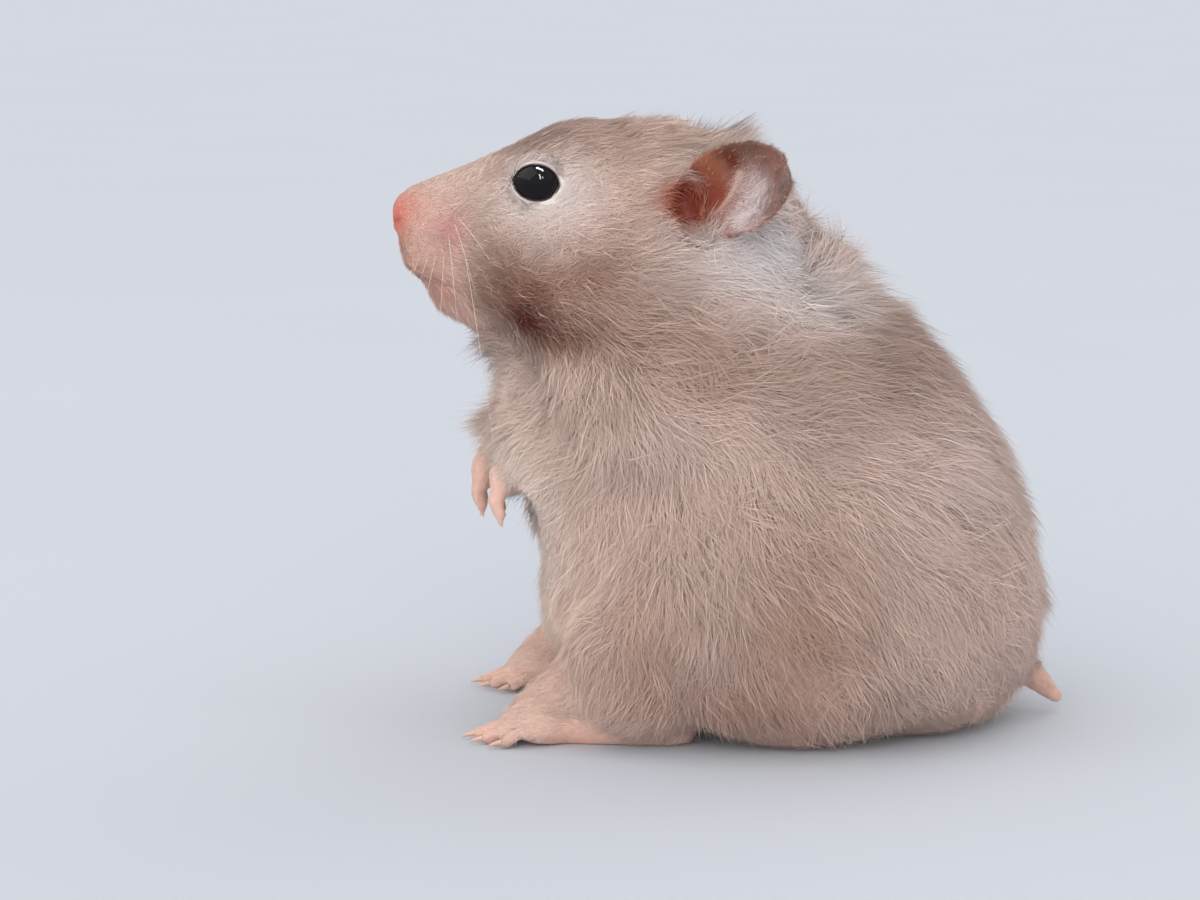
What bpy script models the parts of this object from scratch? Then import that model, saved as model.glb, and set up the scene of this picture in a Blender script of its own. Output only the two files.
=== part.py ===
"""A life-size Syrian hamster, sitting up on its haunches with its forepaws held off the ground.

The animal faces -X and stands on Z = 0. Its left side is at -Y.
Every solid reaches out to the tips of the coat. The body is modelled whole, as clay masses that
are melted together, and is then parted by thin cuts into head, neck, trunk, legs and tail.
All dimensions below are in millimetres, and MM turns them into metres.
"""

import math

import bmesh
import bpy
from mathutils import Euler, Matrix, Vector

MM = 0.001

# --- Driving dimensions -----------------------------------------------------------------------

GAP = 0.3  # clearance between neighbouring solids
BODY_GRAIN = 1.0  # voxel size that melts the body masses together
BODY_SMOOTHING = 14
BODY_TRIANGLE_SHARE = 0.043
PAW_GRAIN = 0.3
PAW_SMOOTHING = 3
FOREPAW_TRIANGLE_SHARE = 0.042
HIND_FOOT_TRIANGLE_SHARE = 0.016

# Trunk, as level slices from the ground up: height, front, back and half width of the coat.
TRUNK_LEVELS = (
    (-3.0, 2.0, 29.0, 9.0),  # under the ground line, trimmed flat later
    (0.0, -6.0, 34.5, 14.5),
    (3.5, -13.0, 38.8, 20.0),
    (9.0, -18.6, 41.8, 24.6),
    (16.0, -21.4, 42.4, 26.8),  # rump, the widest level
    (24.0, -23.4, 41.5, 26.8),
    (32.0, -26.2, 39.2, 25.0),
    (40.0, -29.0, 35.4, 23.0),  # breast
    (48.0, -28.6, 29.4, 20.8),  # shoulders
    (55.0, -25.5, 21.8, 18.0),
    (62.0, -20.0, 14.8, 14.0),  # withers, inside the nape
    (67.0, -12.0, 7.0, 8.0),
)
TRUNK_WIDEST = 0.60  # share of a slice's length, from its front, where it is widest
TRUNK_ROUNDNESS = 2.25

# Head, as upright slices from the nose back: distance along X, underside, widest height, top, half width.
HEAD_SLICES = (
    (-41.9, 63.8, 65.4, 67.2, 1.8),  # tip of the nose
    (-40.8, 61.2, 64.9, 68.7, 3.6),
    (-38.2, 57.4, 62.8, 69.9, 5.6),
    (-34.2, 52.8, 61.0, 71.4, 7.6),  # mouth
    (-29.8, 48.8, 60.5, 73.2, 9.8),
    (-25.0, 45.8, 60.5, 75.5, 12.2),  # eyes
    (-19.0, 43.6, 59.6, 77.9, 14.6),
    (-11.0, 42.6, 58.2, 78.6, 16.8),  # crown
    (-3.0, 42.6, 57.4, 78.0, 17.4),
    (5.0, 44.0, 56.6, 74.6, 16.0),  # back of the skull
    (12.0, 46.0, 56.0, 67.2, 12.6),
    (18.0, 50.0, 55.0, 60.0, 6.5),
)
HEAD_ROUNDNESS_ABOVE = 1.9
HEAD_ROUNDNESS_BELOW = 2.2

# Rounded masses laid over the trunk and head: centre, radii, and tilt about Y in degrees.
# Each is made on the left (-Y) and on the right.
PAIRED_MASSES = {
    "cheek": ((-10.5, 9.6, 54.5), (15.5, 9.0, 10.0), -18.0),
    "whisker_pad": ((-36.4, 3.5, 61.6), (4.7, 4.1, 4.4), -20.0),
    "shoulder": ((-8.0, 12.2, 43.0), (16.0, 10.4, 15.0), 25.0),
    "haunch": ((8.0, 19.2, 17.4), (23.5, 10.2, 17.4), 8.0),
    "knee": ((-9.5, 18.2, 11.5), (10.4, 8.0, 10.6), 20.0),
}
MIDLINE_MASSES = {
    "chin": ((-33.6, 0.0, 55.6), (4.6, 4.6, 3.8), 30.0),
    "breast": ((-18.5, 0.0, 39.5), (11.4, 17.0, 11.5), 0.0),
    "belly": ((-8.0, 0.0, 18.0), (15.5, 19.0, 15.0), 0.0),
    "nape": ((12.6, 0.0, 56.6), (10.5, 11.0, 6.6), 42.0),
}

# Eyes are round balls set into the side of the head.
EYE_CENTRE = (-23.1, 8.3, 70.1)
EYE_RADIUS = 3.3

# Ears are cupped blades. The right one is laid further back.
EAR_ROOT = {"left": (-4.0, 13.0, 67.8), "right": (-4.0, 12.8, 65.8)}
EAR_LENGTH = 15.8
EAR_BURIED = 3.0  # length of the blade inside the head
EAR_WIDTH = 11.2
EAR_THICKNESS = 1.0
EAR_CUP = 3.0
EAR_BACK = {"left": 52.0, "right": 62.0}  # degrees swept back from straight out
EAR_LIFT = {"left": 19.0, "right": -2.0}  # degrees above level
EAR_HOLLOW_RADII = (5.8, 5.0, 5.0)  # scooped out of the head in front of the ear
EAR_HOLLOW_SHIFT = (2.4, 2.6, 0.8)  # of its middle, from the root
EAR_ROWS = 7
EAR_COLUMNS = 7

# Forelimbs, held up: upper arm, elbow, wrist and palm. The left paw is drawn in closer.
FORELEG_PATHS = {
    "left": ((-14.0, 14.0, 39.0), (-19.5, 12.0, 34.5), (-25.2, 8.4, 34.2)),
    "right": ((-15.0, 13.6, 38.5), (-21.5, 11.4, 34.5), (-28.2, 7.6, 34.0)),
}
FORELEG_RADII = (6.2, 4.6, 2.7)
PALM_CENTRES = {"left": (-27.2, 7.2, 32.6), "right": (-30.0, 6.8, 31.4)}
PALM_RADII = (1.9, 2.7, 2.5)
FINGER_COUNT = 4
FINGER_RADIUS = 0.8
FINGER_SPREAD = 1.38  # between neighbouring fingers at the knuckles
FINGER_JOINTS = (2.1, 1.8)

# Hind foot, flat on the ground.
HEEL = (-6.0, 16.5, 2.6)
FOOT_BALL = (-22.0, 15.4, 1.9)
FOOT_RADII = (3.6, 2.6)
TOE_COUNT = 5
TOE_RADIUS = 0.95
TOE_SPREAD = 1.75
TOE_LENGTHS = (4.2, 6.2, 6.8, 6.2, 4.4)  # from the inner toe to the outer one

INSTEP_PATH = ((-15.5, 15.8, 8.6), (-20.6, 15.6, 6.0), (-26.4, 15.4, 2.7))
INSTEP_RADII = (5.2, 3.8, 2.1)

CLAW_LENGTH = {"fore": 1.2, "hind": 1.8}
CLAW_RADIUS = {"fore": 0.34, "hind": 0.42}
CLAW_TIP = 0.12
CLAW_SIDES = 6
CLAW_SEAT = 0.5  # depth that a claw is set into its toe

# Tail, a short stub under the rump.
TAIL_PATH = ((35.0, 0.0, 8.5), (41.6, 0.0, 5.2), (45.0, 0.0, 2.0))
TAIL_RADII = (2.6, 2.0, 1.0)

SIDES = {"left": -1.0, "right": 1.0}

COAT = ((0.46, 0.37, 0.31), 0.85)
PALE_COAT = ((0.66, 0.58, 0.53), 0.85)
BARE_SKIN = ((0.78, 0.46, 0.40), 0.55)
EAR_SKIN = ((0.42, 0.25, 0.20), 0.65)
EYE_GLOSS = ((0.012, 0.010, 0.014), 0.06)


# --- Helpers ----------------------------------------------------------------------------------


def clear_scene():
    for item in list(bpy.data.objects):
        bpy.data.objects.remove(item)


def millimetres(values):
    return Vector(values) * MM


def sided(values, side):
    """A point given for the right side, on the side asked for."""
    return Vector((values[0], values[1] * side, values[2])) * MM


def material(name, finish):
    colour, roughness = finish
    made = bpy.data.materials.new(name)
    made.use_nodes = True
    shader = made.node_tree.nodes["Principled BSDF"]
    shader.inputs["Base Color"].default_value = (*colour, 1.0)
    shader.inputs["Roughness"].default_value = roughness
    shader.inputs["Metallic"].default_value = 0.0
    return made


def add_object(name, mesh):
    item = bpy.data.objects.new(name, mesh)
    bpy.context.scene.collection.objects.link(item)
    return item


def object_from_bmesh(name, bm):
    bmesh.ops.recalc_face_normals(bm, faces=bm.faces)
    mesh = bpy.data.meshes.new(name)
    bm.to_mesh(mesh)
    bm.free()
    return add_object(name, mesh)


def baked(item, name=None):
    """The object with its modifiers applied, as a new plain mesh object. The old one goes."""
    graph = bpy.context.evaluated_depsgraph_get()
    mesh = bpy.data.meshes.new_from_object(item.evaluated_get(graph))
    mesh.transform(item.matrix_world)
    result = add_object(name or item.name, mesh)
    bpy.data.objects.remove(item)
    result.name = name or result.name
    return result


def joined(items, name):
    """One object that holds the meshes of several."""
    bm = bmesh.new()
    for item in items:
        bpy.context.view_layer.update()
        copy = item.data.copy()
        copy.transform(item.matrix_world)
        bm.from_mesh(copy)
        bpy.data.objects.remove(item)
    mesh = bpy.data.meshes.new(name)
    bm.to_mesh(mesh)
    bm.free()
    return add_object(name, mesh)


def duplicate(item, name):
    return add_object(name, item.data.copy())


def boolean(item, operation, cutter):
    modifier = item.modifiers.new(operation.title(), "BOOLEAN")
    modifier.operation = operation
    modifier.solver = "EXACT"
    modifier.object = cutter
    return baked(item, item.name)


def curve_between(rows, steps):
    """Catmull-Rom rows between the given ones, every column alike."""
    result = []
    last = len(rows) - 1
    for index in range(last):
        before = rows[max(index - 1, 0)]
        start = rows[index]
        end = rows[index + 1]
        after = rows[min(index + 2, last)]
        for step in range(steps):
            t = step / steps
            row = []
            for a, b, c, d in zip(before, start, end, after, strict=True):
                bend = (c - a) * t + (2 * a - 5 * b + 4 * c - d) * t**2 + (3 * b - a - 3 * c + d) * t**3
                row.append(b + bend / 2)
            result.append(tuple(row))
    result.append(tuple(rows[last]))
    return result


def power_of(value, roundness):
    """A superellipse's share along one axis, for the cosine or sine of the angle."""
    return math.copysign(abs(value) ** (2.0 / roundness), value)


def loft(name, rings):
    """A closed skin through rings that all have the same number of points."""
    bm = bmesh.new()
    loops = [[bm.verts.new(point) for point in ring] for ring in rings]
    count = len(loops[0])
    for lower, upper in zip(loops, loops[1:]):
        for index in range(count):
            following = (index + 1) % count
            bm.faces.new((lower[index], lower[following], upper[following], upper[index]))
    bm.faces.new(loops[0])
    bm.faces.new(loops[-1])
    return object_from_bmesh(name, bm)


def ellipsoid(name, centre, radii, tilt=0.0, detail=3, grow=0.0):
    """A ball stretched to its radii and tilted about Y. All in metres, except for the tilt."""
    bm = bmesh.new()
    stretch = Matrix.Diagonal((*(radius + grow for radius in radii), 1.0))
    turn = Matrix.Rotation(math.radians(tilt), 4, "Y")
    place = Matrix.Translation(centre)
    bmesh.ops.create_icosphere(bm, subdivisions=detail, radius=1.0, matrix=place @ turn @ stretch)
    return object_from_bmesh(name, bm)


def tapered_limb(name, points, radii, sides=16):
    """A round limb through points in metres, with a ball on each point."""
    items = []
    for start, end, first, second in zip(points, points[1:], radii, radii[1:]):
        axis = end - start
        bm = bmesh.new()
        turn = axis.to_track_quat("Z", "Y").to_matrix().to_4x4()
        bmesh.ops.create_cone(
            bm,
            cap_ends=True,
            segments=sides,
            radius1=first,
            radius2=second,
            depth=axis.length,
            matrix=Matrix.Translation((start + end) / 2) @ turn,
        )
        items.append(object_from_bmesh(name, bm))
    for point, radius in zip(points, radii, strict=True):
        items.append(ellipsoid(name, point, (radius, radius, radius)))
    return joined(items, name)


def melted(items, name, grain, smoothing, triangle_share):
    """Clay masses pressed into one closed skin, smoothed and thinned to a share of its faces."""
    clay = joined(items, name)
    remesh = clay.modifiers.new("Press together", "REMESH")
    remesh.mode = "VOXEL"
    remesh.voxel_size = grain * MM
    smooth = clay.modifiers.new("Smooth", "SMOOTH")
    smooth.factor = 0.5
    smooth.iterations = smoothing
    thin = clay.modifiers.new("Thin out", "DECIMATE")
    thin.ratio = triangle_share
    return baked(clay, name)


def trimmed_flat(item):
    """What lies above the ground, closed by a flat at Z = 0."""
    bm = bmesh.new()
    bm.from_mesh(item.data)
    edges = bm.verts[:] + bm.edges[:] + bm.faces[:]
    cut = bmesh.ops.bisect_plane(bm, geom=edges, plane_co=(0, 0, 0), plane_no=(0, 0, -1), clear_outer=True)
    rim = [part for part in cut["geom_cut"] if isinstance(part, bmesh.types.BMEdge)]
    bmesh.ops.holes_fill(bm, edges=rim)
    bmesh.ops.triangulate(bm, faces=bm.faces)
    bmesh.ops.recalc_face_normals(bm, faces=bm.faces)
    bm.to_mesh(item.data)
    bm.free()
    return item


def swollen(item, name, distance):
    """A copy of the object whose surface is moved outwards, used to cut room around it."""
    copy = duplicate(item, name)
    swell = copy.modifiers.new("Swell", "DISPLACE")
    swell.strength = distance * MM
    swell.mid_level = 0.0
    return baked(copy, name)


def as_guide(item):
    item.hide_render = True
    item.display_type = "WIRE"
    return item


# --- The body's masses ------------------------------------------------------------------------


def trunk_mass():
    rings = []
    for height, front, back, half_width in curve_between(TRUNK_LEVELS, 4):
        middle = front + (back - front) * TRUNK_WIDEST
        ring = []
        for step in range(40):
            angle = math.tau * step / 40
            along = power_of(math.cos(angle), TRUNK_ROUNDNESS)
            across = power_of(math.sin(angle), TRUNK_ROUNDNESS)
            reach = back - middle if along > 0 else middle - front
            ring.append(millimetres((middle + along * reach, across * half_width, height)))
        rings.append(ring)
    return loft("trunk_mass", rings)


def head_mass():
    rings = []
    for along, under, widest, top, half_width in curve_between(HEAD_SLICES, 4):
        ring = []
        for step in range(36):
            angle = math.tau * step / 36
            above = math.sin(angle) > 0
            roundness = HEAD_ROUNDNESS_ABOVE if above else HEAD_ROUNDNESS_BELOW
            rise = power_of(math.sin(angle), roundness)
            across = power_of(math.cos(angle), roundness)
            reach = top - widest if above else widest - under
            ring.append(millimetres((along, across * half_width, widest + rise * reach)))
        rings.append(ring)
    return loft("head_mass", rings)


def limb_masses(side_name, side):
    """The furred upper part of the foreleg, and the instep that runs down from the knee."""
    arm = [sided(p, side) for p in FORELEG_PATHS[side_name]]
    yield tapered_limb("arm", arm, [r * MM for r in FORELEG_RADII])
    instep = [sided(p, side) for p in INSTEP_PATH]
    yield tapered_limb("instep", instep, [r * MM for r in INSTEP_RADII])


def whole_body():
    masses = [trunk_mass(), head_mass()]
    for name, (centre, radii, tilt) in MIDLINE_MASSES.items():
        masses.append(ellipsoid(name, millimetres(centre), millimetres(radii), tilt))
    for side_name, side in SIDES.items():
        masses.extend(limb_masses(side_name, side))
        for name, (centre, radii, tilt) in PAIRED_MASSES.items():
            masses.append(ellipsoid(name, sided(centre, side), millimetres(radii), tilt))
    body = melted(masses, "body", BODY_GRAIN, BODY_SMOOTHING, BODY_TRIANGLE_SHARE)
    return trimmed_flat(body)


# --- Paws and claws ---------------------------------------------------------------------------


def claw(name, toe_tip, direction, kind):
    """A slim cone that is seated in the tip of its toe."""
    length = (CLAW_LENGTH[kind] + CLAW_SEAT) * MM
    bm = bmesh.new()
    turn = direction.to_track_quat("Z", "Y").to_matrix().to_4x4()
    bmesh.ops.create_cone(
        bm,
        cap_ends=True,
        segments=CLAW_SIDES,
        radius1=CLAW_RADIUS[kind] * MM,
        radius2=CLAW_TIP * MM,
        depth=length,
        matrix=Matrix.Translation(toe_tip + direction * (length / 2 - CLAW_SEAT * MM)) @ turn,
    )
    return object_from_bmesh(name, bm)


def clawed(paw, claws):
    for nail in claws:
        paw = boolean(paw, "UNION", nail)
        bpy.data.objects.remove(nail)
    return paw


def forepaw(side_name, side):
    """The bare hand: a small palm and four short fingers that hang from the knuckles."""
    wrist = sided(FORELEG_PATHS[side_name][-1], side)
    palm = sided(PALM_CENTRES[side_name], side)
    masses = [
        tapered_limb("wrist", [wrist, palm], [FORELEG_RADII[-1] * MM * 0.8, PALM_RADII[0] * MM]),
        ellipsoid("palm", palm, millimetres(PALM_RADII)),
    ]
    claws = []
    for finger in range(FINGER_COUNT):
        place = finger - (FINGER_COUNT - 1) / 2
        knuckle = palm + Vector((-0.7 + 0.25 * abs(place), place * FINGER_SPREAD * side, -0.9)) * MM
        splay = place * 0.10 * side
        bend = knuckle + Vector((-0.35, splay, -1.0)).normalized() * FINGER_JOINTS[0] * MM
        tip = bend + Vector((0.30, splay, -1.0)).normalized() * FINGER_JOINTS[1] * MM
        radius = FINGER_RADIUS * MM
        masses.append(tapered_limb("finger", [knuckle, bend, tip], [radius * 1.1, radius, radius * 0.9], 10))
        claw_way = Vector((0.10, splay, -1.0)).normalized()
        claws.append(claw("claw", tip + claw_way * radius * 0.8, claw_way, "fore"))
    paw = melted(masses, f"forepaw_{side_name}", PAW_GRAIN, PAW_SMOOTHING, FOREPAW_TRIANGLE_SHARE)
    return clawed(paw, claws)


def hind_foot(side_name, side):
    """The long flat sole with five toes."""
    heel = sided(HEEL, side)
    ball = sided(FOOT_BALL, side)
    masses = [tapered_limb("sole", [heel, ball], [r * MM for r in FOOT_RADII])]
    masses.append(ellipsoid("ball", ball, millimetres((4.2, 4.4, 2.6))))
    claws = []
    for toe, length in enumerate(TOE_LENGTHS):
        place = toe - (TOE_COUNT - 1) / 2
        root = ball + Vector((-1.5 + 0.5 * abs(place), place * TOE_SPREAD * side, -0.3)) * MM
        heading = Vector((-1.0, place * 0.12 * side, 0.0)).normalized()
        knuckle = root + heading * length * MM * 0.55 + Vector((0, 0, 0.5)) * MM
        tip = root + heading * length * MM
        tip.z = TOE_RADIUS * MM * 0.95
        radius = TOE_RADIUS * MM
        masses.append(tapered_limb("toe", [root, knuckle, tip], [radius * 1.25, radius * 1.05, radius], 10))
        claw_way = (heading + Vector((0, 0, -0.12))).normalized()
        claws.append(claw("claw", tip + claw_way * radius * 0.9, claw_way, "hind"))
    foot = melted(masses, f"hind_foot_{side_name}", PAW_GRAIN, PAW_SMOOTHING, HIND_FOOT_TRIANGLE_SHARE)
    return clawed(trimmed_flat(foot), claws)


def tail():
    path = [millimetres(point) for point in TAIL_PATH]
    return melted([tapered_limb("tail", path, [r * MM for r in TAIL_RADII])], "tail", PAW_GRAIN, PAW_SMOOTHING, 0.03)


# --- Head pieces ------------------------------------------------------------------------------


def ear_frame(side_name, side):
    """Directions along the ear, across it and out of its hollow."""
    back = math.radians(EAR_BACK[side_name])
    lift = math.radians(EAR_LIFT[side_name])
    along = Vector((math.sin(back) * math.cos(lift), math.cos(back) * math.cos(lift) * side, math.sin(lift)))
    outward = Vector((-math.cos(back), math.sin(back) * side, 0.0))
    across = outward.cross(along) * -side
    return along, across.normalized(), outward


def ear_width_share(u):
    """The blade's share of its full width at share u of its length, with a rounded tip."""
    if u < 0.5:
        return 1.0 - 0.40 * ((0.5 - u) / 0.5) ** 2
    return 0.2 + 0.8 * max(1.0 - ((u - 0.5) / 0.5) ** 2.2, 0.0) ** 0.5


def ear(side_name, side):
    """A cupped blade: narrow at its root, round at its tip, its rim turned towards the hollow."""
    along, across, outward = ear_frame(side_name, side)
    root = sided(EAR_ROOT[side_name], side) - along * EAR_BURIED * MM
    bm = bmesh.new()
    grid = []
    for row in range(EAR_ROWS + 1):
        u = math.sin(0.5 * math.pi * row / EAR_ROWS)
        width = ear_width_share(u)
        line = []
        for column in range(EAR_COLUMNS + 1):
            v = 2.0 * column / EAR_COLUMNS - 1.0
            hollow = EAR_CUP * ((v * width) ** 2 - 1.0) * (1.0 - 0.45 * u) + 0.8 * u * u
            point = root + along * (u * (EAR_LENGTH + EAR_BURIED) * MM)
            point += across * (v * width * EAR_WIDTH / 2 * MM)
            point += outward * (hollow * MM)
            line.append(bm.verts.new(point))
        grid.append(line)
    for low, high in zip(grid, grid[1:]):
        for column in range(EAR_COLUMNS):
            bm.faces.new((low[column], low[column + 1], high[column + 1], high[column]))
    blade = object_from_bmesh(f"ear_{side_name}", bm)
    thick = blade.modifiers.new("Thickness", "SOLIDIFY")
    thick.thickness = EAR_THICKNESS * MM
    thick.offset = 0.0
    return baked(blade, f"ear_{side_name}")


def ear_hollow(side_name, side):
    middle = sided(EAR_ROOT[side_name], side) + sided(EAR_HOLLOW_SHIFT, side)
    return ellipsoid("ear_hollow", middle, millimetres(EAR_HOLLOW_RADII), 0.0, 2)


def eye(side_name, side):
    radius = EYE_RADIUS * MM
    return ellipsoid(f"eye_{side_name}", sided(EYE_CENTRE, side), (radius, radius, radius))


# --- Cutters that part the body ---------------------------------------------------------------


def box_cutter(name, centre, size, tilt=0.0, grow=0.0):
    """A box tilted about Y, all in millimetres. grow widens it on every side."""
    bm = bmesh.new()
    stretch = Matrix.Diagonal((*(length * MM + 2 * grow for length in size), 1.0))
    turn = Euler((0.0, math.radians(tilt), 0.0)).to_matrix().to_4x4()
    bmesh.ops.create_cube(bm, size=1.0, matrix=Matrix.Translation(millimetres(centre)) @ turn @ stretch)
    return object_from_bmesh(name, bm)


def carve(body, name, cutter_at):
    """Takes the piece inside a cutter out of the body and leaves a thin gap round it.

    cutter_at(grow) makes the cutter. Returns the piece and the rest of the body.
    """
    inner = cutter_at(0.0)
    piece = boolean(duplicate(body, name), "INTERSECT", inner)
    bpy.data.objects.remove(inner)
    outer = cutter_at(GAP * MM)
    rest = boolean(body, "DIFFERENCE", outer)
    bpy.data.objects.remove(outer)
    return piece, rest


def nose_cutter(grow):
    return ellipsoid("nose_cutter", millimetres((-42.6, 0.0, 66.2)), millimetres((3.2, 3.4, 2.9)), 0.0, 2, grow)


def thigh_cutter(side):
    def at(grow):
        centre = sided((2.0, 26.5, 12.5), side)
        return ellipsoid("thigh_cutter", centre, millimetres((28.0, 14.5, 21.0)), 8.0, 3, grow)

    return at


def shin_cutter(side):
    def at(grow):
        centre = sided((-21.0, 15.6, 5.4), side)
        return ellipsoid("shin_cutter", centre, millimetres((8.4, 6.6, 7.4)), -20.0, 2, grow)

    return at


def foreleg_cutter(side_name, side):
    def at(grow):
        elbow, wrist = FORELEG_PATHS[side_name][1:]
        centre = (sided(elbow, side) + sided(wrist, side)) / 2 + Vector((-0.5, 0.0, -1.0)) * MM
        return ellipsoid("foreleg_cutter", centre, millimetres((8.6, 7.2, 6.4)), -10.0, 2, grow)

    return at


def head_cutter(grow):
    return box_cutter("head_cutter", (-22.5, 0.0, 83.0), (90.0, 60.0, 62.0), -22.0, grow)


def neck_cutter(grow):
    return box_cutter("neck_cutter", (-19.0, 0.0, 75.0), (96.0, 60.0, 62.0), -22.0, grow)


# --- Assembly ---------------------------------------------------------------------------------


def finish_piece(item, finish):
    item.data.materials.clear()
    item.data.materials.append(material(item.name, finish))
    item.data.shade_smooth()
    item.data.set_sharp_from_angle(angle=math.radians(40.0))
    return item


def stand_on_origin():
    """Moves every piece so that the origin is the middle of the base of the box round them all."""
    pieces = [item for item in bpy.data.objects if item.type == "MESH"]
    corners = [vertex.co for item in pieces for vertex in item.data.vertices]
    low = Vector([min(corner[axis] for corner in corners) for axis in range(3)])
    high = Vector([max(corner[axis] for corner in corners) for axis in range(3)])
    shift = Vector((-(low.x + high.x) / 2, -(low.y + high.y) / 2, -low.z))
    for item in pieces:
        item.data.transform(Matrix.Translation(shift))


def main():
    clear_scene()
    body = whole_body()
    for side_name, side in SIDES.items():
        hollow = ear_hollow(side_name, side)
        body = boolean(body, "DIFFERENCE", hollow)
        bpy.data.objects.remove(hollow)
    clearance = as_guide(swollen(body, "body_clearance", GAP))

    for side_name, side in SIDES.items():
        finish_piece(eye(side_name, side), EYE_GLOSS)
        grown = (EYE_RADIUS + GAP) * MM
        socket = ellipsoid("socket", sided(EYE_CENTRE, side), (grown, grown, grown))
        body = boolean(body, "DIFFERENCE", socket)
        bpy.data.objects.remove(socket)

        finish_piece(boolean(ear(side_name, side), "DIFFERENCE", clearance), EAR_SKIN)
        paw = forepaw(side_name, side)
        finish_piece(boolean(paw, "DIFFERENCE", clearance), BARE_SKIN)
        foot = hind_foot(side_name, side)
        finish_piece(boolean(foot, "DIFFERENCE", clearance), BARE_SKIN)

    finish_piece(boolean(tail(), "DIFFERENCE", clearance), BARE_SKIN)
    nose, body = carve(body, "nose", nose_cutter)
    finish_piece(nose, BARE_SKIN)
    for side_name, side in SIDES.items():
        foreleg, body = carve(body, f"foreleg_{side_name}", foreleg_cutter(side_name, side))
        finish_piece(foreleg, PALE_COAT)
        thigh, body = carve(body, f"thigh_{side_name}", thigh_cutter(side))
        finish_piece(thigh, COAT)
        shin, body = carve(body, f"shin_{side_name}", shin_cutter(side))
        finish_piece(shin, PALE_COAT)
    head, body = carve(body, "head", head_cutter)
    finish_piece(head, COAT)
    neck, body = carve(body, "neck", neck_cutter)
    finish_piece(neck, COAT)
    body.name = "trunk"
    finish_piece(body, COAT)
    bpy.data.objects.remove(clearance)
    stand_on_origin()


if __name__ == "__main__":
    main()
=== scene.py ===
"""A Syrian hamster sitting up, life size: skin, coat, eyes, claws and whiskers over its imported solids.

Lengths are in metres in the frame; tables of places on the animal are in millimetres. The hamster
looks along -X, its left side faces -Y, and it sits on the floor at Z = 0.
"""

import math

import bpy
import numpy as np
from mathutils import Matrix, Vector
from mathutils.bvhtree import BVHTree
from mathutils.kdtree import KDTree


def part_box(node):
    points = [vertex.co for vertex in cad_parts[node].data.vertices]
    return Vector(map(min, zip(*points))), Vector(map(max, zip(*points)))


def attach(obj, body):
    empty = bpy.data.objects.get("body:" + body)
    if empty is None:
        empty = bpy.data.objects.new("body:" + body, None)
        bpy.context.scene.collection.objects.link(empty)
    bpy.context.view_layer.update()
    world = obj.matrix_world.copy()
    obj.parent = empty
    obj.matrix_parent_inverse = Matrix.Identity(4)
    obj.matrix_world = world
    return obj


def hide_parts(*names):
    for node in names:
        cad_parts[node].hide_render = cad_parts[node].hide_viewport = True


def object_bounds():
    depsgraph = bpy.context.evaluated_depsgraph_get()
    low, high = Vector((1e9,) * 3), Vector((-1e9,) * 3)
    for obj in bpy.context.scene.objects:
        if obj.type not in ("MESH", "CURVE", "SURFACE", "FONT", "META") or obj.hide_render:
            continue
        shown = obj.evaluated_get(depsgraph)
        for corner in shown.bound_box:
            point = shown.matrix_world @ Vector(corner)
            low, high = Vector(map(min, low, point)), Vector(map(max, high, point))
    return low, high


bl_info = {
    "name": "Syrian hamster",
    "version": (1, 0, 0),
    "blender": (4, 5, 0),
    "location": "3D view > Sidebar > Hamster",
    "description": "Dresses the solids of a Syrian hamster with skin, coat, eyes, claws and whiskers",
    "category": "Object",
}

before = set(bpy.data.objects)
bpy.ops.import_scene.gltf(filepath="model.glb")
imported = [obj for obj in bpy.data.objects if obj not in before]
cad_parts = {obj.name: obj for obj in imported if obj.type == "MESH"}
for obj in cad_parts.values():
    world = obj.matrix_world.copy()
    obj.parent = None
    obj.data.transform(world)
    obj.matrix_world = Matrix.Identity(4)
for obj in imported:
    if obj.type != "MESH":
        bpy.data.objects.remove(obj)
CAD_LOW, CAD_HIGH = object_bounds()

MM = 0.001

# ---- The solids, by kind ----

SIDES = {"left": -1, "right": 1}
EYE_NODES = ("eye_left", "eye_right")
FLESH_NODES = tuple(name for name in sorted(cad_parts) if name not in EYE_NODES)
BARE_NODES = tuple(name for name in FLESH_NODES if name.startswith(("ear", "forepaw", "hind_foot", "tail")))
BODY_NAME = "root"

# ---- Lie of the coat ----
# Where, which way the hairs point, how long they are in mm, and how steeply they stand in degrees.
# Places are on the right half of the body, and the left half mirrors them.

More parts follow.
